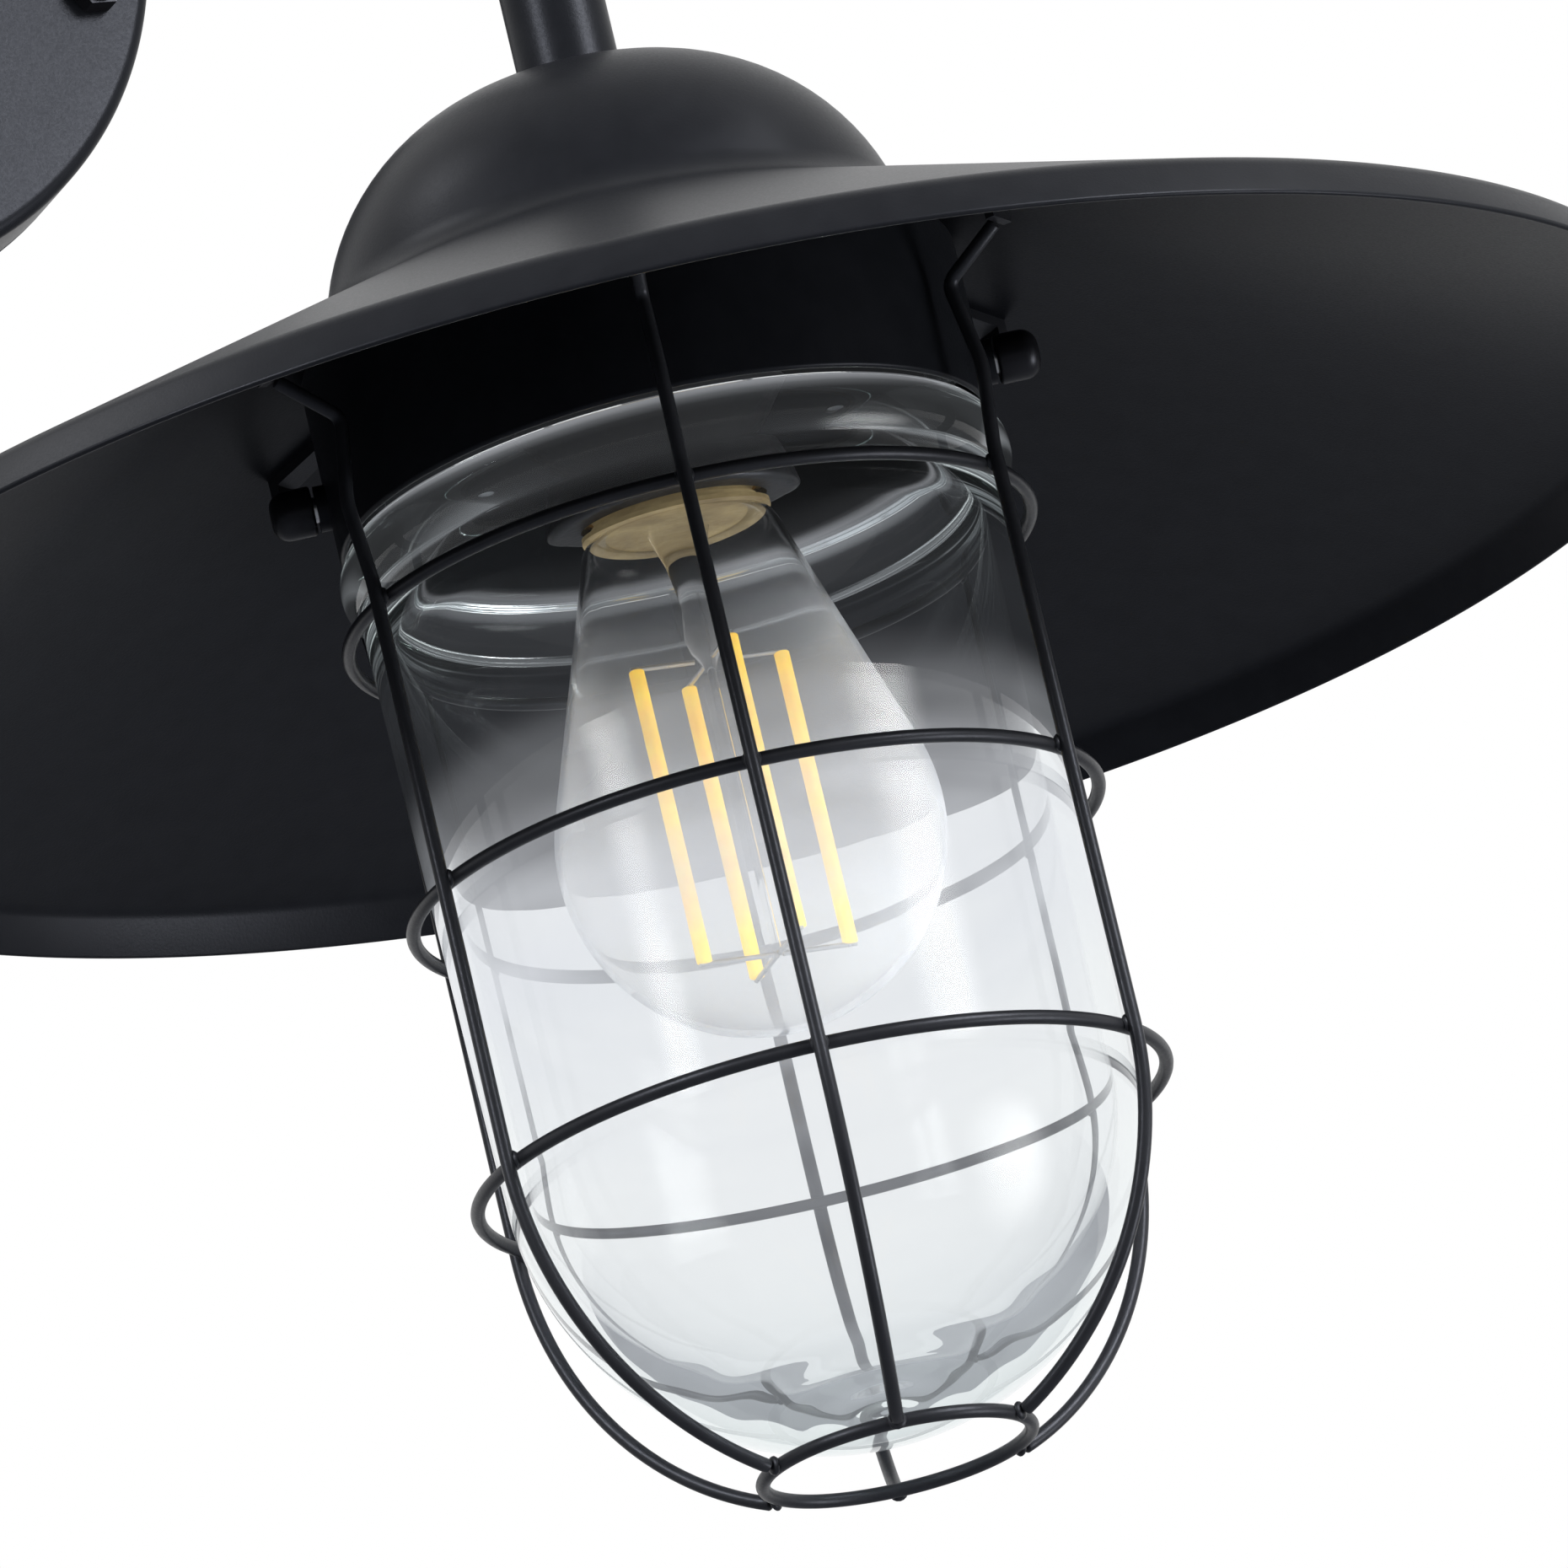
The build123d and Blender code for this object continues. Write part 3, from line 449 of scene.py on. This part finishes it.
def clear_glass(name, tint, ior, wave_scale, wave_depth, painted_layer, absorb=None, painted_glow=0.0, shine=0.4):
    """Clear glass with slight waviness, a layer of painted light and, where given, painted light of its own;
    light passes it to what is behind.
    """
    material, tree_nodes, links, shader = new_material(name)
    shader.inputs["Base Color"].default_value = (*tint, 1.0)
    shader.inputs["Transmission Weight"].default_value = 1.0
    shader.inputs["IOR"].default_value = ior
    shader.inputs["Roughness"].default_value = 0.0
    shader.inputs["Specular Tint"].default_value = (shine, shine, shine, 1.0)
    shader.inputs["Emission Color"].default_value = (*GLASS_PAINTED_GLOW, 1.0)
    shader.inputs["Emission Strength"].default_value = painted_glow
    wave = object_noise(tree_nodes, links, wave_scale, detail=2.0)
    bump_from(tree_nodes, links, wave, shader, wave_depth)
    output = tree_nodes["Material Output"]
    paths = tree_nodes.new("ShaderNodeLightPath")
    clear = tree_nodes.new("ShaderNodeBsdfTransparent")
    clear.inputs["Color"].default_value = (*tint, 1.0)
    surface = painted_light_over(tree_nodes, links, shader, **painted_layer)
    surface = mixed(tree_nodes, links, paths.outputs["Is Shadow Ray"], surface, clear.outputs["BSDF"])
    links.new(surface, output.inputs["Surface"])
    if absorb:
        volume = tree_nodes.new("ShaderNodeVolumeAbsorption")
        volume.inputs["Color"].default_value = (*absorb, 1.0)
        volume.inputs["Density"].default_value = ABSORPTION
        links.new(volume.outputs["Volume"], output.inputs["Volume"])
    return material


# The jar shines faintly with painted light of its own.
jar_glass = clear_glass("jar_glass", (0.945, 0.947, 0.955), ior=1.38, wave_scale=26.0,
                        wave_depth=0.04 * MM, painted_layer=JAR_PAINTED_LIGHT, absorb=(0.58, 0.8, 0.75),
                        painted_glow=0.001, shine=0.25)
bulb_glass = clear_glass("bulb_glass", (0.99, 0.99, 0.985), ior=1.14, wave_scale=70.0,
                         wave_depth=0.1 * MM, painted_layer=BULB_PAINTED_BLOOM)
stem_glass = clear_glass("stem_glass", (0.97, 0.97, 0.96), ior=1.12, wave_scale=160.0,
                         wave_depth=0.3 * MM, painted_layer=STEM_PAINTED_LIGHT)


# Filament material

FILAMENT_AMBER = (1.0, 0.53, 0.0)
FILAMENT_YELLOW = (1.0, 0.68, 0.03)
FILAMENT_GLOW = 0.9
FILAMENT_ROUGHNESS = 0.55
FILAMENT_BLOTCH = 420.0
FILAMENT_RELIEF = 0.2 * MM


def filament_material():
    """Amber phosphor on a glass rod, a little uneven along its length."""
    material, tree_nodes, links, shader = new_material("filament_yellow")
    blotch = object_noise(tree_nodes, links, FILAMENT_BLOTCH)
    colour = colour_between(tree_nodes, links, blotch, FILAMENT_AMBER, FILAMENT_YELLOW)
    links.new(colour, shader.inputs["Base Color"])
    links.new(colour, shader.inputs["Emission Color"])
    shader.inputs["Emission Strength"].default_value = FILAMENT_GLOW
    shader.inputs["Roughness"].default_value = FILAMENT_ROUGHNESS
    bump_from(tree_nodes, links, blotch, shader, FILAMENT_RELIEF)
    return material


filament_yellow = filament_material()


# Materials of the CAD nodes by slot; the cage's clips take the wires' black, which is lifted by painted
# glare

SLOT_MATERIALS = {
    "powder_black": powder_black,
    "gloss_black": gloss_black,
    "rubber_black": rubber_black,
    "zinc_steel": zinc_steel,
    "brass": brass,
    "cap_gold": cap_gold,
    "socket_black": socket_black,
    "terminal_white": terminal_white,
    "insulation_brown": insulation_brown,
    "insulation_blue": insulation_blue,
    "insulator_black": insulator_black,
    "solder": solder,
    "lead_wire": lead_wire,
    "jar_glass": jar_glass,
    "bulb_glass": bulb_glass,
    "filament_yellow": filament_yellow,
}
for entry in frame["record"]["subparts"]:
    node = nodes[entry["node"]]
    node.data.materials.clear()
    node.data.materials.append(SLOT_MATERIALS[entry["material_slot"]])
nodes["cage_clips"].data.materials[0] = wire_black


# Shade: the spun sheet as one smooth turned skin, sizes in millimetres and degrees

SHEET = 1.0
SEAT_R = 9.1
DOME_R = 46.2
FLANK_SLOPE = 76.0
NECK_R = 9.0
CONE_SLOPE = 21.9
LIP_TURN_R = 5.0
LIP_SLOPE = 60.0
LIP_LENGTH = 5.8
RIM_R = 159.2


def shade_profile(depth, steps=20):
    """One skin of the sheet, from the seat to the rim, at a depth below the outer skin."""
    line = [(0.0, -depth), (SEAT_R, -depth)]

    def arc(radius, start, end, side):
        r, z = line[-1]
        a0 = math.radians(start)
        for k in range(1, steps + 1):
            a = math.radians(start + (end - start) * k / steps)
            out = side * radius * (math.sin(a) - math.sin(a0))
            rise = side * radius * (math.cos(a0) - math.cos(a))
            line.append((r - out, z + rise))

    def straight(length, slope, parts):
        r, z = line[-1]
        a = math.radians(slope)
        for k in range(1, parts + 1):
            line.append((r + length * k / parts * math.cos(a), z - length * k / parts * math.sin(a)))

    flank, cone, lip = (math.radians(a) for a in (FLANK_SLOPE, CONE_SLOPE, LIP_SLOPE))
    reach = SEAT_R + (DOME_R - SEAT_R) * math.sin(flank) + NECK_R * (math.sin(flank) - math.sin(cone))
    reach += LIP_TURN_R * (math.sin(lip) - math.sin(cone)) + LIP_LENGTH * math.cos(lip)
    arc(DOME_R - SEAT_R - depth, 0.0, FLANK_SLOPE, -1)
    arc(NECK_R + depth, FLANK_SLOPE, CONE_SLOPE, 1)
    straight((RIM_R - reach) / math.cos(cone), CONE_SLOPE, 8)
    arc(LIP_TURN_R - depth, CONE_SLOPE, LIP_SLOPE, -1)
    straight(LIP_LENGTH, LIP_SLOPE, 1)
    return line


def make_shade():
    """Both skins of the sheet and a round hem between them."""
    outer = shade_profile(0.0)
    inner = shade_profile(SHEET)
    (r0, z0), (r1, z1) = outer[-1], inner[-1]
    middle = ((r0 + r1) / 2, (z0 + z1) / 2)
    start = math.degrees(math.atan2(z0 - middle[1], r0 - middle[0]))
    hem = arc_points(middle, SHEET / 2, start, start - 180.0, 8)[1:-1]
    head_lathe("shade_skin", outer + hem + list(reversed(inner)), powder_black, "fixture",
               "shade", "powder_black", segments=480, closed=False, sharp=50.0)


# Glass holder: a cup that is open below, sizes in millimetres

HOLDER_R = 51.5
HOLDER_WALL = 1.2
HOLDER_TOP = -37.5
HOLDER_EDGE = -67.0
HOLDER_BEND = 1.5
HOLDER_HOLE_R = 13.0


def make_holder():
    """The cup's top with its hole, the bend, the side, and a round edge below."""
    r, wall, bend = HOLDER_R, HOLDER_WALL, HOLDER_BEND
    profile = [(HOLDER_HOLE_R, HOLDER_TOP), (r - bend, HOLDER_TOP)]
    profile += arc_points((r - bend, HOLDER_TOP - bend), bend, 90.0, 0.0, 6)
    profile += arc_points((r - wall / 2, HOLDER_EDGE + wall / 2), wall / 2, 0.0, -180.0, 8)
    profile += [(r - wall, HOLDER_TOP - wall), (HOLDER_HOLE_R, HOLDER_TOP - wall)]
    head_lathe("holder_cup", profile, powder_black, "fixture", "glass_holder", "powder_black")


# Glass jar: its pressed foot is thicker than the wall and faintly ringed, sizes in millimetres and degrees

JAR_RIM = -41.5
BEAD_TOP = -67.6
BEAD_FOOT = -77.1
BOWL_TOP = -171.6
JAR_NECK_R = 47.0
JAR_NECK_BORE = 43.0
BEAD_R = 52.6
BODY_R = 50.6
BODY_BORE = 46.6
BOWL_R = 49.0
BOWL_BORE = 45.0
RIM_BEND = 1.6
NECK_BEND = 2.2
SHOULDER_BEND = 8.0
FOOT_SWELL = 0.11
RIPPLE = 0.1
RIPPLE_TURN = 45.0
RIPPLE_REACH = 36.0


def jar_outside():
    """From the rim down the neck, over the bead and along the body to the bowl's foot."""
    chord = (BEAD_TOP - BEAD_FOOT) / 2
    rise = BEAD_R - BODY_R
    bend = (chord ** 2 + rise ** 2) / (2 * rise)
    swing = math.degrees(math.asin(chord / bend))
    line = arc_points((JAR_NECK_R - RIM_BEND, JAR_RIM - RIM_BEND), RIM_BEND, 90.0, 0.0, 6)
    line.append((JAR_NECK_R, BEAD_TOP + NECK_BEND))
    line += arc_points((JAR_NECK_R + NECK_BEND, BEAD_TOP + NECK_BEND), NECK_BEND, 180.0, 270.0, 6)
    line += arc_points((BEAD_R - bend, (BEAD_TOP + BEAD_FOOT) / 2), bend, swing, -swing, 14)
    line += between((BODY_R, BEAD_FOOT), (BOWL_R, BOWL_TOP), 10)
    line += arc_points((0.0, BOWL_TOP), BOWL_R, 0.0, -90.0, 48)
    line[-1] = (0.0, BOWL_TOP - BOWL_R)
    return line


def jar_inside():
    """From the thick foot with its faint rings up the body and the neck to the rim."""
    line = []
    for r, z in arc_points((0.0, BOWL_TOP), BOWL_BORE, -90.0, 0.0, 96):
        ring = RIPPLE * math.sin(math.radians(r * RIPPLE_TURN)) * max(0.0, 1.0 - r / RIPPLE_REACH)
        line.append((r, BOWL_TOP + (z - BOWL_TOP) * (1.0 - FOOT_SWELL) + ring))
    line[0] = (0.0, BOWL_TOP - BOWL_BORE * (1.0 - FOOT_SWELL))
    line += between((BOWL_BORE, BOWL_TOP), (BODY_BORE, BEAD_FOOT), 10)
    shoulder = [(BODY_BORE, BEAD_FOOT), (JAR_NECK_BORE, BEAD_TOP), (JAR_NECK_BORE, JAR_RIM)]
    line += rounded(shoulder, [SHOULDER_BEND])
    line += arc_points((JAR_NECK_BORE + RIM_BEND, JAR_RIM - RIM_BEND), RIM_BEND, 180.0, 90.0, 6)
    return line


def make_jar():
    """Neck, bead, slightly drawn-in body and bowl, one closed wall of thick glass."""
    head_lathe("jar_wall", jar_outside() + jar_inside(), jar_glass, "jar",
               "glass_jar", "jar_glass", segments=288, sharp=75.0)


# Cage: hooked wires, three rings and a foot ring; the hook's points and bends are in millimetres

HOOK = ((64.4, -46.6), (54.6, -52.7), (57.0, -66.5))
HOOK_BENDS = (2.5, 12.0, 20.0)
SIDE_DEPTH = 79.5 * MM
BOWL_DEPTH = RING_DEPTHS["lower"]
WELD_HEIGHT = 0.7 * MM
WELD_R = 1.5 * MM


def wire_path(azimuth):
    """A wire from its hook, down the side and round the bowl to the foot ring."""
    top = (WIRE_REACH / MM, -SIDE_DEPTH / MM)
    foot = (WIRE_REACH / MM, -BOWL_DEPTH / MM)
    hook = in_metres(rounded([*HOOK, top, foot], HOOK_BENDS))
    side = in_metres(between(top, foot, 12, start=2))
    drop = math.degrees(math.acos(FOOT_REACH / WIRE_REACH))
    bowl = arc_points((0.0, -BOWL_DEPTH), WIRE_REACH, 0.0, -drop, 36)
    return [spoke(azimuth, r, z) for r, z in hook + side + bowl]


def ring_mesh(radius, depth, count):
    """A ring with a small flattened weld at each of the wires."""
    path = [about_lamp(radius, -depth, 2 * math.pi * k / count) for k in range(count)]
    weld = arc_points((0.0, 0.0), 1.0, 90.0, -90.0, 8)
    parts = [bar_mesh(path, WIRE_R, closed=True)]
    for azimuth in WIRE_AZIMUTHS:
        parts.append(spoke_lathe(weld, 16, azimuth, radius + WIRE_R, -depth, WELD_HEIGHT, WELD_R))
    return join_meshes(parts)


def add_cage_piece(name, mesh, replaced):
    """A piece of the cage."""
    add_piece(name, *mesh, wire_black, "cage", replaced, "powder_black", sharp=60.0)


def make_cage():
    """Six wires, the rings around the jar, and the foot ring where the wires end."""
    for k, azimuth in enumerate(WIRE_AZIMUTHS, start=1):
        add_cage_piece(f"cage_bar_{k}", bar_mesh(wire_path(azimuth), WIRE_R), f"cage_wire_{k}")
    for name, depth in RING_DEPTHS.items():
        add_cage_piece(f"cage_hoop_{name}", ring_mesh(RING_R, depth, count=240), f"cage_ring_{name}")
    foot_depth = BOWL_DEPTH + math.sqrt(WIRE_REACH ** 2 - FOOT_REACH ** 2)
    add_cage_piece("cage_hoop_foot", ring_mesh(FOOT_RING_R, foot_depth, count=160), "cage_ring_foot")


# Bulb: envelope, stem and filaments, sizes in millimetres and degrees

BULB_WALL = 0.8
BULB_NECK_R = 14.6
BULB_NECK_TOP = -72.8
BULB_R = 30.0
BULB_CENTRE = -124.5
FOLD_IN = 2.6
FOLD_OUT = 0.3
FOLD_DROP = 0.5
FOLD_BEND = 4.0
STEM_PROFILE = (
    (0.0, -71.8), (4.6, -71.8), (4.8, -74.0), (4.2, -76.0), (3.2, -79.0), (2.6, -83.0), (2.2, -86.0),
    (2.6, -88.5), (2.9, -91.0), (2.4, -93.5), (1.4, -95.2), (0.7, -97.0), (0.7, -142.5), (0.0, -142.5),
)
FILAMENT_COUNT = 4
FILAMENT_TURN = 16.6
FILAMENT_RING_R = 11.8
FILAMENT_R = 1.2
FILAMENT_TOP = -95.5
FILAMENT_LENGTH = 47.0


def bulb_skin(depth):
    """Half an outline of the envelope: a folded neck, a straight flank and the round end."""
    neck_r = BULB_NECK_R - depth
    radius = BULB_R - depth
    rise = BULB_NECK_TOP - BULB_CENTRE
    touch = 90.0 - math.degrees(math.atan2(neck_r, rise))
    touch -= math.degrees(math.acos(radius / math.hypot(neck_r, rise)))
    end = arc_points((0.0, BULB_CENTRE), radius, touch, -90.0, 40)
    end[-1] = (0.0, BULB_CENTRE - radius)
    flank = between((neck_r, BULB_NECK_TOP), end[0], 16, start=2)
    fold = [(neck_r - FOLD_IN, BULB_NECK_TOP), (neck_r + FOLD_OUT, BULB_NECK_TOP - FOLD_DROP), flank[0]]
    return rounded(fold, [FOLD_BEND]) + flank + end


def make_bulb():
    """The envelope's two skins as one closed wall, and the glass stem inside."""
    skin = bulb_skin(0.0) + list(reversed(bulb_skin(BULB_WALL)))
    head_lathe("bulb_envelope_skin", skin, bulb_glass, "bulb_envelope",
               "bulb_glass", "bulb_glass", segments=192, sharp=75.0)
    head_lathe("bulb_stem_skin", STEM_PROFILE, stem_glass, "bulb_envelope",
               "bulb_stem", "bulb_glass", segments=64, closed=False, sharp=50.0)


def make_filaments():
    """Upright rods around the stem."""
    heights = [(FILAMENT_TOP - FILAMENT_LENGTH * i / 8) * MM for i in range(9)]
    bars = []
    for k in range(FILAMENT_COUNT):
        azimuth = FILAMENT_TURN + 360.0 * k / FILAMENT_COUNT
        path = [spoke(azimuth, FILAMENT_RING_R * MM, z) for z in heights]
        bars.append(bar_mesh(path, FILAMENT_R * MM, sides=24))
    add_piece("bulb_filament_bars", *join_meshes(bars), filament_yellow, "bulb_envelope",
              "bulb_filaments", "filament_yellow", sharp=60.0)


# Thumbscrew knobs: plain caps with a rounded nose, sizes in millimetres

KNOB_START = 53.7
KNOB_HEIGHT = -57.6
KNOB_LENGTH = 6.7
KNOB_R = 3.9
KNOB_HOLE_R = 1.7
KNOB_EDGE = 0.5
KNOB_NOSE = 2.6


def make_knob(side, azimuth):
    """A cap turned about its spoke, with the stud's hole towards the lamp."""
    profile = [(KNOB_HOLE_R, 0.0), (KNOB_R - KNOB_EDGE, 0.0)]
    profile += arc_points((KNOB_R - KNOB_EDGE, KNOB_EDGE), KNOB_EDGE, -90.0, 0.0, 4)
    profile += arc_points((KNOB_R - KNOB_NOSE, KNOB_LENGTH - KNOB_NOSE), KNOB_NOSE, 0.0, 90.0, 10)
    profile.append((0.0, KNOB_LENGTH))
    mesh = spoke_lathe(profile, 64, azimuth, KNOB_START * MM, KNOB_HEIGHT * MM, MM, MM)
    add_piece(f"knob_cap_{side}", *mesh, gloss_black, f"knob_{side}",
              f"thumbscrew_knob_{side}", "gloss_black")


# Wall plate, sizes in millimetres

PLATE_BACK = 2.0
PLATE_WALL = 1.5
PLATE_BEND = 2.6
PLATE_HOLE_R = 8.15


def about_plate(r, out, angle):
    """A point turned about the plate's axis, at a distance out from the wall."""
    return Vector((PLATE.x + r * math.cos(angle), -out, PLATE.z + r * math.sin(angle)))


def make_plate():
    """A spun dish, open towards the wall, with a hole for the arm."""
    radius = (PLATE_BOX[1].x - PLATE_BOX[0].x) / 2 / MM
    front = -PLATE_BOX[0].y / MM
    corner = (radius - PLATE_BEND, front - PLATE_BEND)
    outer = [(PLATE_HOLE_R, front)]
    outer += between((PLATE_HOLE_R, front), (radius - PLATE_BEND, front), 10)
    outer += arc_points(corner, PLATE_BEND, 90.0, 0.0, 14) + [(radius, PLATE_BACK)]
    inner = [(radius - PLATE_WALL, PLATE_BACK)]
    inner += arc_points(corner, PLATE_BEND - PLATE_WALL, 0.0, 90.0, 10)
    inner.append((PLATE_HOLE_R, front - PLATE_WALL))
    verts, faces = lathe_mesh(in_metres(outer + inner), 288, about_plate, True)
    add_piece("plate_dish", verts, faces, powder_black, "fixture", "wall_plate", "powder_black")


# Arm

ARM_R = 8.0 * MM
ARM_BEND = 90.0 * MM
ARM_TAIL = 6.0 * MM
ARM_SEAT_GAP = 1.5 * MM
ARM_STEPS = 48


def make_arm():
    """The bent tube, from behind the plate's front to just above the dome's seat."""
    bend_start = AXIS.y + ARM_BEND
    path = [Vector((0, PLATE_BOX[0].y + ARM_TAIL, PLATE.z)), Vector((0, bend_start, PLATE.z))]
    for k in range(1, ARM_STEPS + 1):
        a = math.radians(90 * k / ARM_STEPS)
        out = ARM_BEND * math.sin(a)
        drop = ARM_BEND * (1 - math.cos(a))
        path.append(Vector((0, bend_start - out, PLATE.z - drop)))
    path.append(Vector((0, AXIS.y, SEAT + ARM_SEAT_GAP)))
    verts, faces = bar_mesh(path, ARM_R, sides=72, domed=False)
    add_piece("arm_pipe", verts, faces, powder_black, "fixture", "arm_tube", "powder_black")


make_shade()
make_holder()
make_jar()
make_cage()
make_bulb()
make_filaments()
make_knob("left", -90.0)
make_knob("right", 90.0)
make_plate()
make_arm()


# Floor and surroundings

FLOOR_HALF = 8.0
FLOOR_HEIGHT = -2.4
FLOOR_DARK = (0.68, 0.7, 0.76)
FLOOR_PALE = (0.71, 0.73, 0.79)
FLOOR_BLOTCH = 3.0
FLOOR_ROUGHNESS = 0.9
FLOOR_LIFT = 0.5
ROOM_FILL = 0.35


def make_floor():
    """Keeps the shadow, paler to the camera than the light it throws back, and open from below."""
    corners = [(x * FLOOR_HALF, y * FLOOR_HALF, FLOOR_HEIGHT)
               for x, y in ((-1, -1), (1, -1), (1, 1), (-1, 1))]
    mesh = bpy.data.meshes.new("floor")
    mesh.from_pydata(corners, [], [(0, 1, 2, 3)])
    material, tree_nodes, links, shader = new_material("pale_floor")
    drift = object_noise(tree_nodes, links, FLOOR_BLOTCH)
    colour = colour_between(tree_nodes, links, drift, FLOOR_DARK, FLOOR_PALE)
    links.new(colour, shader.inputs["Base Color"])
    shader.inputs["Roughness"].default_value = FLOOR_ROUGHNESS
    shader.inputs["Emission Color"].default_value = (*WHITE, 1.0)
    paths = tree_nodes.new("ShaderNodeLightPath")
    lift = combine(tree_nodes, links, "MULTIPLY", paths.outputs["Is Camera Ray"], FLOOR_LIFT)
    links.new(lift, shader.inputs["Emission Strength"])
    side = tree_nodes.new("ShaderNodeNewGeometry").outputs["Backfacing"]
    clear = tree_nodes.new("ShaderNodeBsdfTransparent")
    surface = mixed(tree_nodes, links, side, shader.outputs["BSDF"], clear.outputs["BSDF"])
    links.new(surface, tree_nodes["Material Output"].inputs["Surface"])
    mesh.materials.append(material)
    floor = bpy.data.objects.new("floor", mesh)
    bpy.context.scene.collection.objects.link(floor)


def make_world():
    """White to the camera, to reflections and through glass; a soft even fill for the rest."""
    world = bpy.data.worlds.new("studio")
    bpy.context.scene.world = world
    world.use_nodes = True
    tree_nodes, links = world.node_tree.nodes, world.node_tree.links
    fill = tree_nodes["Background"]
    white = tree_nodes.new("ShaderNodeBackground")
    for background, strength in ((fill, ROOM_FILL), (white, 1.0)):
        background.inputs["Color"].default_value = (*WHITE, 1.0)
        background.inputs["Strength"].default_value = strength
    paths = tree_nodes.new("ShaderNodeLightPath").outputs
    seen = combine(tree_nodes, links, "MAXIMUM", paths["Is Camera Ray"], paths["Is Glossy Ray"])
    seen = combine(tree_nodes, links, "MAXIMUM", seen, paths["Is Transmission Ray"])
    surface = mixed(tree_nodes, links, seen, fill.outputs["Background"], white.outputs["Background"])
    links.new(surface, tree_nodes["World Output"].inputs["Surface"])


# Soft boxes around the lamp head
# Each has an azimuth from -Y and a height in degrees, its distance, width and length in metres, and watts
# A box is full up to LAMP_CORE of its width from its middle and dark from LAMP_EDGE on

LAMPS = {
    "key": (33.0, 20.0, 1.85, 1.2, 1.2, 80.0),
    "left": (-68.0, 20.0, 1.7, 0.7, 1.2, 46.0),
    "right": (60.0, 42.0, 1.6, 0.6, 0.6, 3.0),
    "back": (-112.0, 50.0, 1.6, 0.9, 0.9, 8.0),
    "low": (54.0, -33.0, 1.45, 1.0, 1.0, 22.0),
}
LAMP_CORE = 0.05
LAMP_EDGE = 0.5
LAMP_PEAK = 2.4
LAMP_MIDDLE = (0.5, 0.5, 0.0)
AIM_DEPTH = 60.0 * MM


def add_lamp(name, place, target, size, energy):
    """A soft box that is brightest in its middle and fades out towards its edge."""
    light = bpy.data.lights.new(name, "AREA")
    light.shape = "RECTANGLE"
    light.size, light.size_y = size
    light.energy = energy
    light.use_nodes = True
    tree_nodes, links = light.node_tree.nodes, light.node_tree.links
    across = tree_nodes.new("ShaderNodeNewGeometry")
    away = tree_nodes.new("ShaderNodeVectorMath")
    away.operation = "DISTANCE"
    away.inputs[1].default_value = LAMP_MIDDLE
    links.new(across.outputs["Parametric"], away.inputs[0])
    fade = value_between(tree_nodes, links, away.outputs["Value"], LAMP_PEAK, 0.0,
                         start=LAMP_CORE, end=LAMP_EDGE, soft=True)
    links.new(fade, tree_nodes["Emission"].inputs["Strength"])
    lamp = bpy.data.objects.new(name, light)
    bpy.context.scene.collection.objects.link(lamp)
    lamp.location = place
    lamp.rotation_euler = (target - place).to_track_quat("-Z", "Y").to_euler()


def make_lights():
    """All the soft boxes, aimed a little below the dome's seat."""
    target = AXIS - UP * AIM_DEPTH
    for name, (azimuth, height, distance, width, length, watts) in LAMPS.items():
        a, e = math.radians(azimuth), math.radians(height)
        towards = Vector((math.sin(a) * math.cos(e), -math.cos(a) * math.cos(e), math.sin(e)))
        add_lamp(name, AXIS + towards * distance, target, (width, length), watts)


# Camera: the photograph's view, in a frame that is turned about the lamp's axis by VIEW_TURN degrees
# The focal length is in the photograph's pixels

VIEW_TURN = -26.0
VIEW_RIGHT = (0.9730, 0.0624, -0.2223)
VIEW_DOWN = (-0.2308, 0.2748, -0.9334)
VIEW_AHEAD = (0.0028, 0.9595, 0.2818)
EYE_FROM_AXIS = (-0.45 * MM, -2445.6 * MM, 0.0)
EYE_BELOW_TOP_RING = 752.8 * MM
SENSOR_WIDTH = 36.0
PHOTO_WIDTH = 1860.0
FOCAL_LENGTH = 19833.5
CLIP_END = 50.0


def make_camera():
    """Far away, low, looking up, with the picture tilted."""
    turn = Matrix.Rotation(math.radians(VIEW_TURN), 3, "Z")
    right, down, ahead = (turn @ Vector(v) for v in (VIEW_RIGHT, VIEW_DOWN, VIEW_AHEAD))
    eye = turn @ Vector(EYE_FROM_AXIS)
    place = AXIS + eye - UP * (RING_DEPTHS["top"] + EYE_BELOW_TOP_RING)
    data = bpy.data.cameras.new("camera")
    data.sensor_width = SENSOR_WIDTH
    data.lens = SENSOR_WIDTH * FOCAL_LENGTH / PHOTO_WIDTH
    data.clip_end = CLIP_END
    camera = bpy.data.objects.new("camera", data)
    bpy.context.scene.collection.objects.link(camera)
    turned = Matrix((right, -down, -ahead)).transposed().to_4x4()
    camera.matrix_world = Matrix.Translation(place) @ turned
    bpy.context.scene.camera = camera


make_floor()
make_world()
make_lights()
make_camera()
bpy.context.scene.view_settings.view_transform = "Standard"
